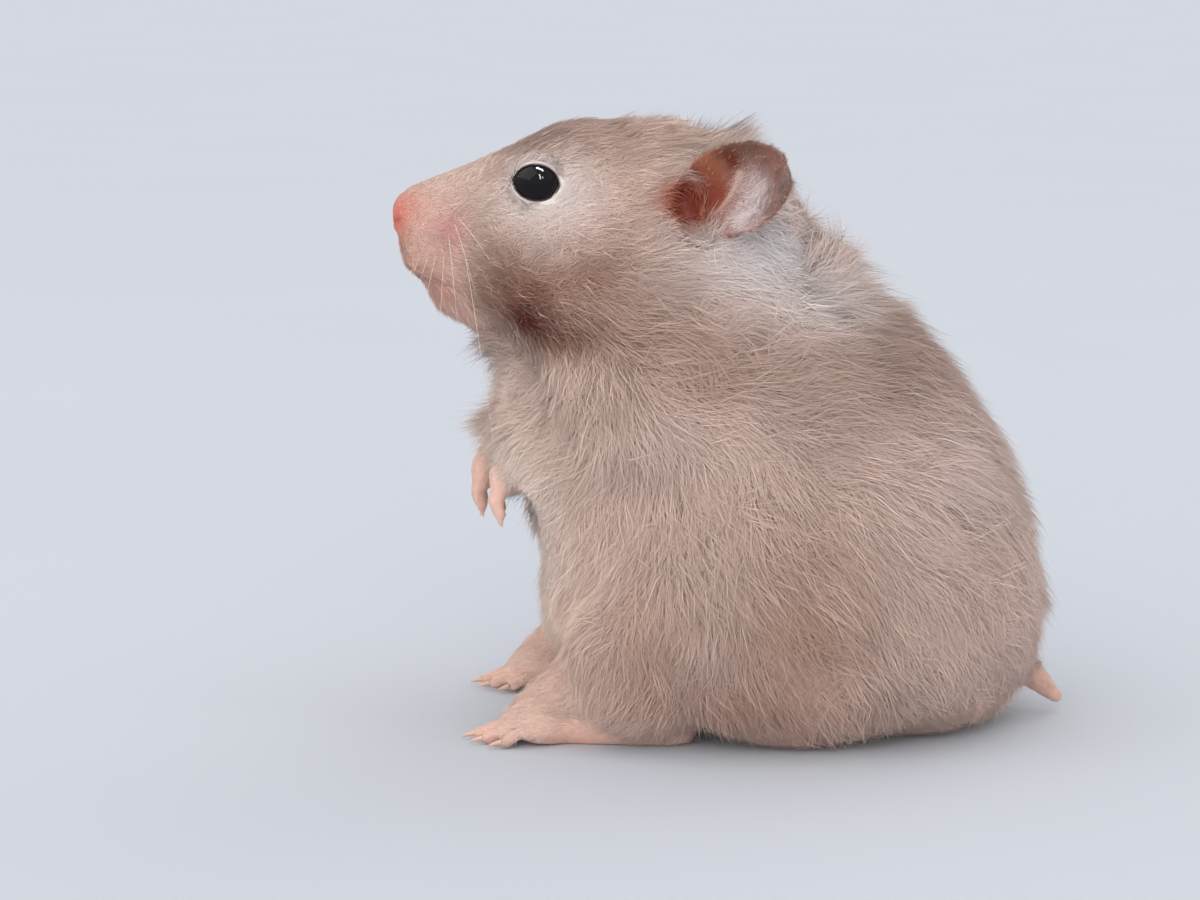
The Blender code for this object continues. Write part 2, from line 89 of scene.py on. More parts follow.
LIE_OF_COAT = (
    # the head
    ("nose_top", (-41.5, 1.5, 69.5), (1, 0.2, 0.6), 0.9, 14),
    ("nose_side", (-41, 4, 66), (1, 0.7, 0.1), 1, 14),
    ("lip", (-40, 3, 61.5), (0.9, 0.5, -0.3), 1.4, 20),
    ("bridge", (-36, 2.5, 73), (1, 0.15, 0.5), 1.4, 14),
    ("muzzle_side", (-36, 8, 66), (1, 0.4, 0), 1.5, 14),
    ("whisker_pad", (-36, 8, 60.5), (1, 0.4, -0.2), 1.6, 15),
    ("brow", (-29, 6, 76), (1, 0.1, 0.2), 2, 17),
    ("forehead", (-24, 2, 78), (1, 0.05, 0.05), 2.5, 17),
    ("crown", (-13, 3, 78), (1, 0.05, -0.05), 3.9, 30),
    ("front_of_ear", (-9, 12, 75), (1, 0.1, 0.15), 3, 18),
    ("crown_tuft", (-3, 7, 76), (0.9, 0.15, 0.5), 6, 50),
    ("behind_crown", (6, 4, 73), (1, 0.05, -0.35), 4.8, 22),
    ("below_eye", (-25, 12.5, 65), (1, 0.1, -0.12), 1.8, 14),
    ("behind_eye", (-18, 13, 71), (1, 0.1, 0.1), 2.2, 15),
    ("temple", (-12, 16, 68), (1, 0.05, 0.05), 2.6, 16),
    ("cheek_front", (-31, 12, 58), (1, 0.3, -0.3), 2.4, 15),
    ("cheek", (-22, 17, 58), (1, 0.05, -0.2), 3.4, 17),
    ("cheek_back", (-10, 19, 60), (1, 0, -0.1), 4.1, 18),
    ("below_ear", (-1, 17, 62), (1, 0, 0.1), 4.4, 17),
    ("chin", (-35, 2, 53.5), (0.8, 0.1, -0.7), 2.3, 25),
    ("jaw", (-28, 13, 51), (0.9, 0.2, -0.7), 3.2, 18),
    ("throat", (-28, 3, 46.5), (-0.5, 0, -0.8), 5, 34),
    # the neck
    ("neck_side", (-10, 21, 52), (1, 0, -0.35), 5.9, 19),
    ("neck_behind_ear", (4, 14, 62), (1, 0.1, -0.2), 5.8, 19),
    ("nape_side", (12, 13, 61), (1, 0.1, 0.55), 8, 50),
    ("nape", (14, 3, 64), (1, 0, 0.2), 7.4, 49),
    # the trunk
    ("breast_top", (-28, 3, 47), (-1, 0, 0), 6.5, 50),
    ("breast", (-29, 3, 43), (-0.9, 0, -0.25), 7, 48),
    ("breast_side", (-26, 11, 44), (-0.95, 0.1, -0.2), 6.5, 40),
    ("shoulder_crest", (-19, 18, 45), (0.1, 0, -0.6), 5.5, 30),
    ("shoulder_front", (-23, 17, 38), (-0.75, 0, -0.65), 6.4, 26),
    ("shoulder", (-14, 22, 38), (0.2, 0, -1), 6.7, 22),
    ("shoulder_back", (-4, 24, 44), (0.9, 0, -0.4), 7.4, 22),
    ("withers", (12, 18, 52), (1, 0, -0.15), 6.8, 24),
    ("back_top", (24, 4, 54), (1, 0, -0.65), 7, 26),
    ("back", (26, 16, 44), (1, 0, -0.4), 7.8, 26),
    ("back_low", (35, 5, 38), (0.6, 0.1, -0.9), 7.4, 28),
    ("side_front", (-16, 22, 28), (-0.15, 0, -1), 6.7, 21),
    ("side", (-4, 25, 30), (0.4, 0, -0.95), 7.4, 21),
    ("side_back", (10, 25, 38), (0.9, 0, -0.55), 7.8, 21),
    ("rump_side", (32, 17, 26), (0.85, 0, -0.6), 7.4, 21),
    ("rump", (39, 4, 22), (0.3, 0.05, -1), 6.7, 27),
    ("rump_low", (37, 10, 8), (0.5, 0, -0.9), 5.5, 22),
    ("above_tail", (39, 1, 11), (0.5, 0, -0.9), 3.7, 22),
    ("belly_high", (-28, 3, 30), (-0.6, 0, -0.8), 5.6, 30),
    ("belly", (-28, 3, 18), (-0.1, 0, -1), 5.2, 26),
    ("belly_side", (-24, 14, 22), (-0.2, 0.05, -1), 5.5, 21),
    ("belly_low", (-22, 4, 6), (0.5, 0, -0.8), 4.4, 18),
    ("underside", (0, 6, 0), (1, 0.1, 0), 2.4, 12),
    ("under_rump", (28, 6, 1), (1, 0, 0), 3.2, 12),
    # the limbs and the tail
    ("foreleg_top", (-22, 11, 38), (-0.6, -0.1, -0.8), 3.7, 14),
    ("foreleg", (-27, 8, 33), (-0.6, -0.1, -0.8), 2.4, 16),
    ("wrist", (-30, 7, 31.5), (-0.5, 0, -0.85), 1.3, 10),
    ("palm", (-31.5, 7, 29), (-0.3, 0, -0.95), 0.6, 8),
    ("haunch_top", (6, 27, 28), (0.65, 0, -0.75), 7, 17),
    ("haunch", (12, 29, 18), (0.6, 0, -0.8), 6.6, 16),
    ("haunch_back", (24, 25, 14), (0.75, 0, -0.65), 6.4, 17),
    ("haunch_low", (8, 28, 5), (0.35, 0, -0.9), 5, 15),
    ("haunch_front", (-14, 26, 16), (-0.15, 0, -1), 5.9, 18),
    ("knee", (-20, 22, 12), (-0.3, 0, -0.9), 4.4, 18),
    ("shin", (-24, 15, 9), (-0.8, 0, -0.6), 2.7, 14),
    ("instep", (-24, 15.5, 4.6), (-1, 0, -0.35), 1.6, 11),
    ("toes", (-33, 15.5, 1.8), (-1, 0, -0.2), 0.7, 8),
    ("sole", (-20, 15, 0), (-1, 0, 0), 0.5, 6),
    ("tail", (42, 1.5, 4.5), (1, 0.1, -0.6), 1.2, 12),
)
GUIDE_REACH = 1.5  # mm, softens the pull of a guide on hairs right beside it
MIDLINE = 3  # mm from the middle of the body, within which the lies of its two halves meet
PARTING_START, PARTING_END = 0.8, 3  # radii from the eye's middle, between which hairs turn aside
PARTING_REACH = 1.3 * MM  # over which they turn less and less
PARTING_TURN = (0.35, 1.15)  # how far each hair there turns, and how much further one that points at it
LONGEST_DOWN = {"forepaw": 0.7, "hind_foot": 1.3, "tail": 1.0}  # mm
EAR_DOWN = (1.1, 14)  # length in mm and steepness in degrees of the down on the ears
EAR_HOLLOW_HAIR = (2.6, 34)  # the same of the pale hairs in the ear's hollow
SKIN_UNDER_EAR_HAIR = 0.22  # mm
DEEPEST_COAT = 5.2  # mm
PAW_FULLNESS = 0.25  # mm that the smoothing takes from the thin fingers
SPARE_ROOM = 0.025  # of each side of the solids' box, how far a hair may pass it

# ---- Markings of the coat, which the skin shares: place and spread in mm, colour, strength ----

COAT_GROUND = "#b39e95"
MARKINGS = (
    # the trunk
    ("back_warm", (20, 8, 50), (16, 20, 10), "#90776e", 0.85),
    ("back_light", (28, 16, 33), (9, 10, 8), "#c8b4ae", 0.8),
    ("rump", (34, 14, 17), (9, 14, 9), "#c6ada4", 0.8),
    ("rump_low", (34, 12, 4), (13, 14, 5), "#b2988d", 0.75),
    ("flank_light", (-5, 22, 38), (10, 12, 7), "#c5b0a7", 0.8),
    ("flank", (0, 24, 29), (12, 10, 6), "#bba59b", 0.8),
    ("flank_low", (-12, 24, 17), (7, 8, 5), "#b2978b", 0.8),
    ("shoulder_shade", (-4, 22, 47), (10, 9, 3), "#957b70", 0.6),
    ("shoulder", (-19, 17, 40), (8, 8, 8), "#c2aca0", 0.85),
    ("breast", (-30, 5, 38), (6, 10, 8), "#cdb6ab", 0.9),
    ("belly", (-24, 5, 20), (7, 12, 12), "#e9cfbf", 0.95),
    ("belly_front", (-27.5, 7, 25), (4.8, 10, 12), "#fcede2", 1),
    # the haunch and leg
    ("haunch_top", (9, 26, 25), (8, 8, 5), "#a88f85", 0.75),
    ("haunch", (8, 28, 15), (9, 9, 7), "#a08072", 0.8),
    ("haunch_low", (2, 27, 5), (16, 10, 5), "#98786b", 0.8),
    ("haunch_front", (-12, 25, 9), (5, 8, 5), "#a3877a", 0.7),
    ("instep", (-27, 15, 4.5), (7, 7, 4), "#e3c8bd", 0.9),
    ("shin", (-24, 15, 8), (6, 7, 5), "#d3b3a4", 0.85),
    # the neck
    ("neck_side", (-9, 18, 51), (9, 9, 6), "#9d8479", 0.8),
    ("nape", (14, 6, 61), (7, 8, 4), "#b29c94", 0.7),
    ("white_behind_ear", (4.5, 13, 61.5), (8, 8, 5.2), "#f7f2f4", 1),
    ("white_below", (12, 12, 56), (7, 8, 4), "#efe6e4", 0.85),
    # the head
    ("crown", (-12, 4, 77), (9, 9, 6), "#b5998e", 0.9),
    ("forehead", (-26, 2, 77), (8, 8, 5), "#745a51", 0.85),
    ("temple", (-14, 13.5, 69), (6, 6, 4.5), "#b2978d", 0.8),
    ("bridge", (-36, 3, 71.5), (5, 5, 4), "#c8b0a5", 0.9),
    ("muzzle", (-38.5, 5.5, 66.5), (4.5, 5, 4), "#d0aea3", 0.95),
    ("lip", (-39, 4, 58.5), (4.5, 6, 4), "#f8c5b4", 0.95),
    ("chin", (-35, 3, 53), (5, 6, 3.4), "#f3cdbe", 0.95),
    ("lower_lip", (-37, 3.5, 55), (3, 4, 2.6), "#da8b78", 0.35),
    ("cheek_light", (-29.5, 10.3, 62), (4, 4, 3), "#a58a7e", 0.8),
    ("cheek_back", (-17, 15.5, 58.5), (5, 5, 4.5), "#8f7064", 0.85),
    ("cheek_low", (-14.5, 17.3, 53), (5, 5, 3.5), "#9d8277", 0.7),
    ("cheek_mid", (-25.5, 12, 57), (7.5, 6, 3.8), "#7f5746", 0.9),
    ("cheek_front", (-30.5, 11, 57), (4.2, 4.5, 5), "#7c6154", 0.7),
    ("flash_back", (-21, 14.5, 51), (6, 7, 3), "#653c2b", 0.85),
    ("cheek_flash", (-26, 12, 52.8), (5.6, 7, 3.4), "#4c1c0d", 0.98),
    ("whisker_pad", (-36, 7.4, 64.2), (2.6, 3, 2.6), "#bb8886", 0.85),
    ("behind_eye", (-19, 12.8, 67.8), (4, 4, 3), "#cdb9b2", 0.8),
    ("eye_surround", (-24.4, 11.5, 70), (5.4, 5, 4.6), "#efe6e4", 1),
    ("nose_red", (-43.2, 1.6, 65.2), (3.7, 3.8, 3.6), "#cf6a58", 0.97),
)

# ---- Folds of the bare skin ----
# The line that each follows on the right half, its half width and depth in mm, and its colour, darker than
# the skin round it as painted shade inside the fold.

FOLDS = (
    ("nostril", ((-43.9, 0.7, 64.8), (-43.2, 2, 64.9), (-42.2, 3, 65.3)), 0.30, 0.55, "#7a2a20"),
    ("philtrum", ((-43.9, 0, 64.2), (-43.3, 0, 61.5), (-42.2, 0, 59.6)), 0.30, 0.35, "#c0685c"),
    ("mouth", ((-41.2, 0, 59.2), (-39.8, 3.2, 58.2), (-37.2, 5.6, 57), (-34.5, 7.4, 57)), 0.4, 0.3,
     "#b47768"),
)

# ---- The ear's inner face ----
# A place is a share of the ear's width, from the cheek to the back rim, and of its height. Then come the
# spread, the colour, its strength, how far it stands out in mm, and how bare it leaves the ear.

EAR_GROUND = "#96655a"
EAR_OUTSIDE = "#9a8074"
EAR_MARKINGS = (
    # the rims' dark brown is partly the ear's own tone and partly painted shade where the rim curls over
    ("shaded_rim_top", (0.62, 0.97), (0.32, 0.19), "#6b4838", 0.97, 0.5, -0.9),
    ("shaded_rim_back", (0.96, 0.55), (0.13, 0.30), "#76625a", 0.97, 0.5, -0.9),
    ("hollow", (0.64, 0.46), (0.15, 0.24), "#dcd2d2", 0.95, -1, -0.9),
    ("hollow_low", (0.54, 0.22), (0.15, 0.13), "#dad0d0", 0.95, -0.3, -0.9),
    # the flap's orange red is partly its own skin and partly a painted glow of light shining through the thin
    # ear from behind
    ("backlit_flap", (0.27, 0.70), (0.12, 0.18), "#a2603f", 0.9, 0.4, 0.2),
    ("fold_shade", (0.44, 0.78), (0.08, 0.13), "#6b2f1c", 0.95, -0.6, -0.9),
    # the canal's dark red is red skin darkened by painted shade in the ear's hollow
    ("shaded_canal_back", (0.28, 0.42), (0.07, 0.14), "#96482f", 0.9, -0.3, 0.6),
    ("canal", (0.14, 0.30), (0.11, 0.17), "#84351f", 1, 0, 1),
)
CANAL = (0.2, 0.0, 4.1)  # mm from the ear's root corner to the middle of its canal
CANAL_SPREAD = (4.4, 4.5, 3.6)
# dark red of the canal's skin and of the hairs across it: red skin and painted shade of the hollow
SHADED_CANAL_RED = "#84351f"
SHADED_CANAL_HAIR = "#97523e"
EAR_HOLLOW, EAR_HOLLOW_SPREAD = (0.62, 0.38), (0.221, 0.338)  # where the pale hairs grow
EAR_FAN = (0.1, 0.3)  # where the hairs fan out from
EAR_RIDGE = ((0.13, 0.14), (0.30, 0.28), (0.42, 0.46), (0.50, 0.66))
EAR_RIDGE_LOOK = (0.030, "#dcbfb2", 0.75, 0.6)  # half width, colour, strength and rise
EAR_BARENESS = 0.12  # how bare the ears are between their markings
EAR_HOLD = (2.5, 6.0)  # mm from the root corner, over which the ear's own form begins


# ---- What a user may change ----


def linear(colour):
    """An sRGB hex colour as linear red, green and blue."""
    parts = [int(colour[i : i + 2], 16) / 255 for i in (1, 3, 5)]
    return tuple(c / 12.92 if c <= 0.04045 else ((c + 0.055) / 1.055) ** 2.4 for c in parts)


def colour_setting(name, description, default):
    return bpy.props.FloatVectorProperty(
        name=name, description=description, subtype="COLOR", size=3, min=0, max=1, default=linear(default)
    )


def amount_setting(name, description, default, **more):
    return bpy.props.FloatProperty(name=name, description=description, default=default, min=0, **more)


def length_setting(name, description, default):
    return amount_setting(name, description, default, subtype="DISTANCE", unit="LENGTH")


def angle_setting(name, description, degrees):
    return amount_setting(name, description, math.radians(degrees), subtype="ANGLE")


class HamsterSkinSettings(bpy.types.PropertyGroup):
    grain: length_setting("Grain", "Side of the cells that the flesh is cast from", 0.4 * MM)
    covered_share: amount_setting("Covered share", "Share of the cells kept under long hair", 0.16, max=1)
    closing: length_setting("Closing", "How far the solids swell to meet over their gaps", 0.2 * MM)
    lid_thickness: length_setting("Lid thickness", "How far the lids stand off the eyeball", 0.22 * MM)
    pink: colour_setting("Bare skin", "Skin of the paws, feet and tail", "#e6b8a8")
    lid_dark: colour_setting("Lid rim", "Bare dark rim of the lids", "#33211d")


class HamsterCoatSettings(bpy.types.PropertyGroup):
    body_density: amount_setting("Body density", "Tufts on a square millimetre of the body", 15.0)
    face_density: amount_setting("Face density", "Tufts on a square millimetre of the face", 30.0)
    ear_density: amount_setting("Ear density", "Tufts on a square millimetre of the ears", 17.0)
    body_width: length_setting("Tuft width", "Width of a tuft on the body", 0.1 * MM)
    face_width: length_setting("Face tuft width", "Width of a tuft on the face", 0.08 * MM)
    length_spread: amount_setting("Length spread", "Share by which lengths differ", 0.2)
    unruliness: amount_setting("Unruliness", "How far hairs stray from the lie of the coat", 0.34)
    gathering: amount_setting("Gathering", "Share by which tips draw together into locks", 0.32)
    guard_share: amount_setting("Guard hairs", "Share of tufts that are long pale guard hairs", 0.012)
    brightness: amount_setting("Brightness", "How much lighter the hairs are than the markings", 1.66)
    pale_hair: colour_setting("Pale hairs", "Guard hairs and pale hairs in the coat", "#ece0da")
    dark_hair: colour_setting("Dark hairs", "Dark hairs in the coat", "#6b4c3e")
    seed: bpy.props.IntProperty(name="Seed", description="Start of the scatter of the tufts", default=7)


class HamsterEyeSettings(bpy.types.PropertyGroup):
    ball: colour_setting("Eyeball", "Near black brown of the eye", "#0b0a0d")
    half_width: angle_setting("Half width", "Half angle of the opening along the head", 54)
    half_height: angle_setting("Half height", "Half angle of the opening across the head", 40.5)


SETTING_GROUPS = {
    "hamster_skin": HamsterSkinSettings,
    "hamster_coat": HamsterCoatSettings,
    "hamster_eyes": HamsterEyeSettings,
}


# ---- Tools ----


def use(*objects):
    """Selects these objects alone and makes the first one active."""
    bpy.ops.object.select_all(action="DESELECT")
    for obj in objects:
        obj.select_set(True)
    bpy.context.view_layer.objects.active = objects[0]


def edit_all(obj, operator, **settings):
    """Runs an operator of edit mode on all of an object's mesh."""
    use(obj)
    bpy.ops.object.mode_set(mode="EDIT")
    bpy.ops.mesh.select_all(action="SELECT")
    operator(**settings)
    bpy.ops.object.mode_set(mode="OBJECT")


def unwrap(obj, margin):
    """Unwraps the whole object by its own shape."""
    corner = math.radians(66)
    edit_all(obj, bpy.ops.uv.smart_project, angle_limit=corner, island_margin=margin, scale_to_bounds=True)


def finish_with(obj, kind, **settings):
    """Adds a modifier with these settings and applies it."""
    modifier = obj.modifiers.new(kind.title(), kind)
    for name, value in settings.items():
        setattr(modifier, name, value)
    use(obj)
    bpy.ops.object.modifier_apply(modifier=modifier.name)


def rows_of(collection, attribute, width, kind=np.float32):
    """One row of values for each member of a mesh's vertices, edges, faces or corners."""
    flat = np.empty(len(collection) * width, kind)
    collection.foreach_get(attribute, flat)
    return flat.reshape(-1, width)


def points_of(mesh):
    return rows_of(mesh.vertices, "co", 3).astype(float)


def set_points(mesh, points):
    mesh.vertices.foreach_set("co", points.astype(np.float32).ravel())
    mesh.update()


def normals_of(mesh):
    return rows_of(mesh.vertex_normals, "vector", 3).astype(float)


def centres_of(mesh):
    return rows_of(mesh.polygons, "center", 3).astype(float)


def unit(vectors):
    return vectors / np.maximum(np.linalg.norm(vectors, axis=-1, keepdims=True), 1e-12)


def across(vectors, axes):
    """The part of each vector that lies across its axis, at unit length."""
    return unit(vectors - axes * np.sum(vectors * axes, axis=-1, keepdims=True))


def mixed(colours, tone, share):
    """Colours drawn towards a tone, by a share for each."""
    return colours + (np.array(tone) - colours) * share[:, None]


def smoothstep(low, high, values):
    share = np.clip((values - low) / (high - low), 0, 1)
    return share * share * (3 - 2 * share)


def starts(names, *stems):
    """Which of the names start with one of the stems."""
    return np.any([np.char.startswith(names, stem) for stem in stems], axis=0)


def nearest(points, queries):
    """Index of the nearest point to each query."""
    tree = KDTree(len(points))
    for index, point in enumerate(points):
        tree.insert(point, index)
    tree.balance()
    return np.array([tree.find(query)[1] for query in queries])


def solids_near(queries):
    """The name of the solid nearest to each place."""
    corners, faces, owners = [], [], []
    for name in (*FLESH_NODES, *EYE_NODES):
        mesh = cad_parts[name].data
        start = len(corners)
        corners.extend(vertex.co.copy() for vertex in mesh.vertices)
        faces.extend([start + index for index in polygon.vertices] for polygon in mesh.polygons)
        owners.extend([name] * len(mesh.polygons))
    tree = BVHTree.FromPolygons(corners, faces)
    return np.array([owners[tree.find_nearest(Vector(query))[2]] for query in queries])


def set_tint(mesh, colours):
    """Stores a colour for each vertex under the name that the materials read."""
    attribute = mesh.color_attributes.get("tint") or mesh.color_attributes.new("tint", "FLOAT_COLOR", "POINT")
    rows = np.ones((len(colours), 4), np.float32)
    rows[:, :3] = np.clip(colours, 0, 1)
    attribute.data.foreach_set("color", rows.ravel())


def bands(sides, rings):
    """Triangles of the bands between the rings of a tube whose corners are counted ring by ring."""
    faces = []
    for low in range(0, sides * (rings - 1), sides):
        for j in range(sides):
            following = low + (j + 1) % sides
            faces.append((low + j, following, following + sides))
            faces.append((low + j, following + sides, low + j + sides))
    return faces


def mesh_from_arrays(name, points, faces, face_uv=None):
    """A new object from triangles in arrays, with a UV map named OFBake where one is given."""
    mesh = bpy.data.meshes.new(name)
    mesh.vertices.add(len(points))
    mesh.vertices.foreach_set("co", points.astype(np.float32).ravel())
    mesh.loops.add(faces.size)
    mesh.loops.foreach_set("vertex_index", faces.astype(np.int32).ravel())
    mesh.polygons.add(len(faces))
    mesh.polygons.foreach_set("loop_start", np.arange(0, faces.size, 3, dtype=np.int32))
    mesh.update(calc_edges=True)
    if face_uv is not None:
        layer = mesh.uv_layers.new(name="OFBake")
        layer.uv.foreach_set("vector", face_uv.astype(np.float32).ravel())
    mesh.shade_smooth()
    obj = bpy.data.objects.new(name, mesh)
    bpy.context.scene.collection.objects.link(obj)
    return obj


def keep(obj, slot, material, *stands_for):
    """Finishes a piece: its material, the body that it rides on and the solids that it replaces; its slot is
    not used.
    """
    obj.data.materials.clear()
    obj.data.materials.append(material)
    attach(obj, BODY_NAME)
    if stands_for:
        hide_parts(*stands_for)


# ---- Materials ----


def add_node(tree, kind, links=(), inputs=(), **settings):
    """Adds one node with its settings, its input values and its links."""
    made = tree.nodes.new(kind)
    for name, value in settings.items():
        setattr(made, name, value)
    for socket, value in dict(inputs).items():
        made.inputs[socket].default_value = value
    for socket, source in dict(links).items():
        tree.links.new(source, made.inputs[socket])
    return made


def new_material(name):
    material = bpy.data.materials.new(name)
    material.use_nodes = True
    material.node_tree.nodes.clear()
    return material, material.node_tree


def finish_material(tree, colour, inputs, links=()):
    """Ends a material in one glossy or matt surface of this colour."""
    shader = add_node(tree, "ShaderNodeBsdfPrincipled", {"Base Color": colour, **dict(links)}, inputs)
    add_node(tree, "ShaderNodeOutputMaterial", {"Surface": shader.outputs["BSDF"]})


def mottled(name, spacing, detail, dark, pale, inputs):
    """A material that drifts between two tones, in spots about as far apart as the spacing."""
    material, tree = new_material(name)
    place = add_node(tree, "ShaderNodeTexCoord").outputs["Object"]
    spots = add_node(tree, "ShaderNodeTexNoise", {"Vector": place}, {"Scale": 1 / spacing, "Detail": detail})
    tones = {"A": (*dark, 1), "B": (*pale, 1)}
    colour = add_node(tree, "ShaderNodeMix", {"Factor": spots.outputs["Fac"]}, tones, data_type="RGBA")
    finish_material(tree, colour.outputs["Result"], inputs)
    return material


def agouti_fur():
    """Soft keratin hair, matt and faintly silky: each hair has its marking's colour, root to tip."""
    material, tree = new_material("agouti_fur")
    tint = add_node(tree, "ShaderNodeVertexColor", layer_name="tint")
    softness = {"Roughness": 0.7, "Specular IOR Level": 0.12, "Sheen Weight": 0.08, "Sheen Roughness": 0.5}
    finish_material(tree, tint.outputs["Color"], softness)
    return material


def soft_hide():
    """Living skin under and between the hairs: fine creases 0.2 mm apart and a slight red glow at edges."""
    material, tree = new_material("soft_hide")
    place = add_node(tree, "ShaderNodeTexCoord").outputs["Object"]
    tint = add_node(tree, "ShaderNodeVertexColor", layer_name="tint")
    crease_grain = {"Scale": 1 / (0.22 * MM), "Smoothness": 0.6}
    creases = add_node(tree, "ShaderNodeTexVoronoi", {"Vector": place}, crease_grain, feature="SMOOTH_F1")
    relief = {"Strength": 0.25, "Distance": 0.05 * MM}
    bump = add_node(tree, "ShaderNodeBump", {"Height": creases.outputs["Distance"]}, relief)
    mottle = add_node(tree, "ShaderNodeTexNoise", {"Vector": place}, {"Scale": 1 / (0.8 * MM), "Detail": 4.0})
    tones = {"To Min": 0.82, "To Max": 1.12}
    shade = add_node(tree, "ShaderNodeMapRange", {"Value": mottle.outputs["Fac"]}, tones)
    shaded = {0: tint.outputs["Color"], "Scale": shade.outputs["Result"]}
    colour = add_node(tree, "ShaderNodeVectorMath", shaded, operation="SCALE")
    flesh = {
        "Roughness": 0.6, "Specular IOR Level": 0.3, "Subsurface Weight": 0.25,
        "Subsurface Scale": 0.5 * MM, "Subsurface Radius": (1.0, 0.35, 0.2),
    }
    finish_material(tree, colour.outputs["Vector"], flesh, {"Normal": bump.outputs["Normal"]})
    return material


def wet_eye():
    """A dark iris under a wet cornea: nearly black, with sharp reflections of the lights."""
    ball = bpy.context.scene.hamster_eyes.ball
    wetness = {"Roughness": 0.03, "IOR": 1.33, "Specular IOR Level": 0.35}
    return mottled("wet_eye", 2.5 * MM, 2.0, ball, linear("#16131a"), wetness)


def horn():
    """Thin pale keratin of the claws: smooth and faintly streaked, for a soft gloss."""
    polish = {"Roughness": 0.35, "IOR": 1.54}
    return mottled("horn", 0.3 * MM, 3.0, linear("#c9a08c"), linear("#dfc0ad"), polish)


def whisker_hair():
    """Stiff white hairs: smooth keratin, so each catches a thin bright line of light."""
    polish = {"Roughness": 0.35, "IOR": 1.55}
    return mottled("whisker_hair", 4 * MM, 1.0, linear("#d9cdc7"), linear("#efe8e4"), polish)


def matt_paper():
    """The studio's sweep of pale matt paper, with a faint unevenness."""
    tooth = {"Roughness": 0.9, "Specular IOR Level": 0.2}
    return mottled("matt_paper", 0.125, 3.0, linear("#cbd3de"), linear("#cfd6e1"), tooth)


# ---- The coat's guides and markings, read at any place on the body ----


def folded(points):
    """Places on the right half of the body, in millimetres, and the side that each came from."""
    sides = np.where(points[:, 1] < 0, -1.0, 1.0)
    right = points / MM
    right[:, 1] *= sides
    return right, sides


def coat_at(points):
    """Which way the coat lies at each place, its length and its steepness."""
    right, sides = folded(points)
    places = np.array([row[1] for row in LIE_OF_COAT], float)
    lies = unit(np.array([row[2] for row in LIE_OF_COAT], float))
    lengths = np.array([row[3] for row in LIE_OF_COAT], float)
    lifts = np.radians([row[4] for row in LIE_OF_COAT])
    square = np.sum((right[:, None] - places) ** 2, axis=2)
    pull = 1 / (square + GUIDE_REACH**2) ** 2
    pull /= pull.sum(axis=1, keepdims=True)
    lie = pull @ lies
    aside = np.abs(right[:, 1])
    lie[:, 1] = np.where(aside < MIDLINE, lie[:, 1] * aside / MIDLINE, lie[:, 1]) * sides
    return part_round_eyes(points, unit(lie)), pull @ lengths * MM, pull @ lifts


def part_round_eyes(points, lie):
    """Turns hairs that point at an eye aside, so that they part and pass round it."""
    for side in SIDES:
        centre, radius, outward, _, _ = eye_frame(side)
        arm = points - centre
        around = np.linalg.norm(arm, axis=1) < PARTING_END * radius
        arm -= outward * (arm @ outward)[:, None]
        gap = np.linalg.norm(arm, axis=1) - PARTING_START * radius
        near = np.exp(-np.maximum(gap, 0) / PARTING_REACH) * around
        away = unit(arm)
        inward = np.minimum(np.sum(lie * away, axis=1), 0)
        turn = near * (PARTING_TURN[0] - PARTING_TURN[1] * inward)
        lie = unit(lie + away * turn[:, None])
    return lie


def coat_colour(points):
    """The colour of the coat at each place, linear."""
    right, _ = folded(points)
    colour = np.tile(linear(COAT_GROUND), (len(points), 1))
    for _, place, spread, tone, strength in MARKINGS:
        square = np.sum(((right - place) / spread) ** 2, axis=1)
        colour = mixed(colour, linear(tone), strength * np.exp(-square))
    return colour


def distance_to_line(places, line):
    """Distance of each place from a line of straight pieces, in the line's own units."""
    shortest = np.full(len(places), np.inf)
    for start, end in zip(np.array(line[:-1], float), np.array(line[1:], float)):
        run = end - start
        share = np.clip((places - start) @ run / (run @ run), 0, 1)
        shortest = np.minimum(shortest, np.linalg.norm(places - start - share[:, None] * run, axis=1))
    return shortest


def fold_shares(points):
    """How far each place lies in each fold of the face, from 0 to 1."""
    right, _ = folded(points)
    return [np.exp(-((distance_to_line(right, line) / width) ** 2)) for _, line, width, _, _ in FOLDS]


# ---- Ears ----


def ear_axes(side):
    """The ear's root corner, its axis to the back rim, the way its hollow faces, its width and height."""
    low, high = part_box("ear_" + side)
    mirror = SIDES[side]
    reach, sideways, height = high - low
    width = math.hypot(reach, sideways)
    along = np.array((reach, mirror * sideways, 0)) / width
    facing = np.array((-sideways, mirror * reach, 0)) / width
    root = np.array((low.x, low.y if mirror > 0 else high.y, low.z))
    return root, along, facing, width, height


def ear_places(points, side):
    """Each place as a share of the ear's width, from the cheek to the back rim, and of its height."""
    root, along, _, width, height = ear_axes(side)
    return np.column_stack(((points - root) @ along / width, (points - root)[:, 2] / height))


def ear_look(points, normals, side):
    """Colour of the ear at each place, how far its form stands out there, and how bare it is."""
    place = ear_places(points, side)
    colour = np.tile(linear(EAR_GROUND), (len(points), 1))
    relief = np.zeros(len(points))
    bare = np.full(len(points), EAR_BARENESS)
    for _, middle, spread, tone, strength, rise, bareness in EAR_MARKINGS:
        share = np.exp(-np.sum(((place - middle) / spread) ** 2, axis=1))
        colour = mixed(colour, linear(tone), strength * share)
        relief += rise * share
        bare += share * bareness
    half_width, tone, strength, rise = EAR_RIDGE_LOOK
    share = np.exp(-((distance_to_line(place, EAR_RIDGE) / half_width) ** 2))
    colour = mixed(colour, linear(tone), strength * share)
    relief += rise * share
    inside = smoothstep(-0.25, 0.25, normals @ ear_axes(side)[2])
    return mixed(colour, linear(EAR_OUTSIDE), 1 - inside), relief, bare.clip(0, 1) * inside


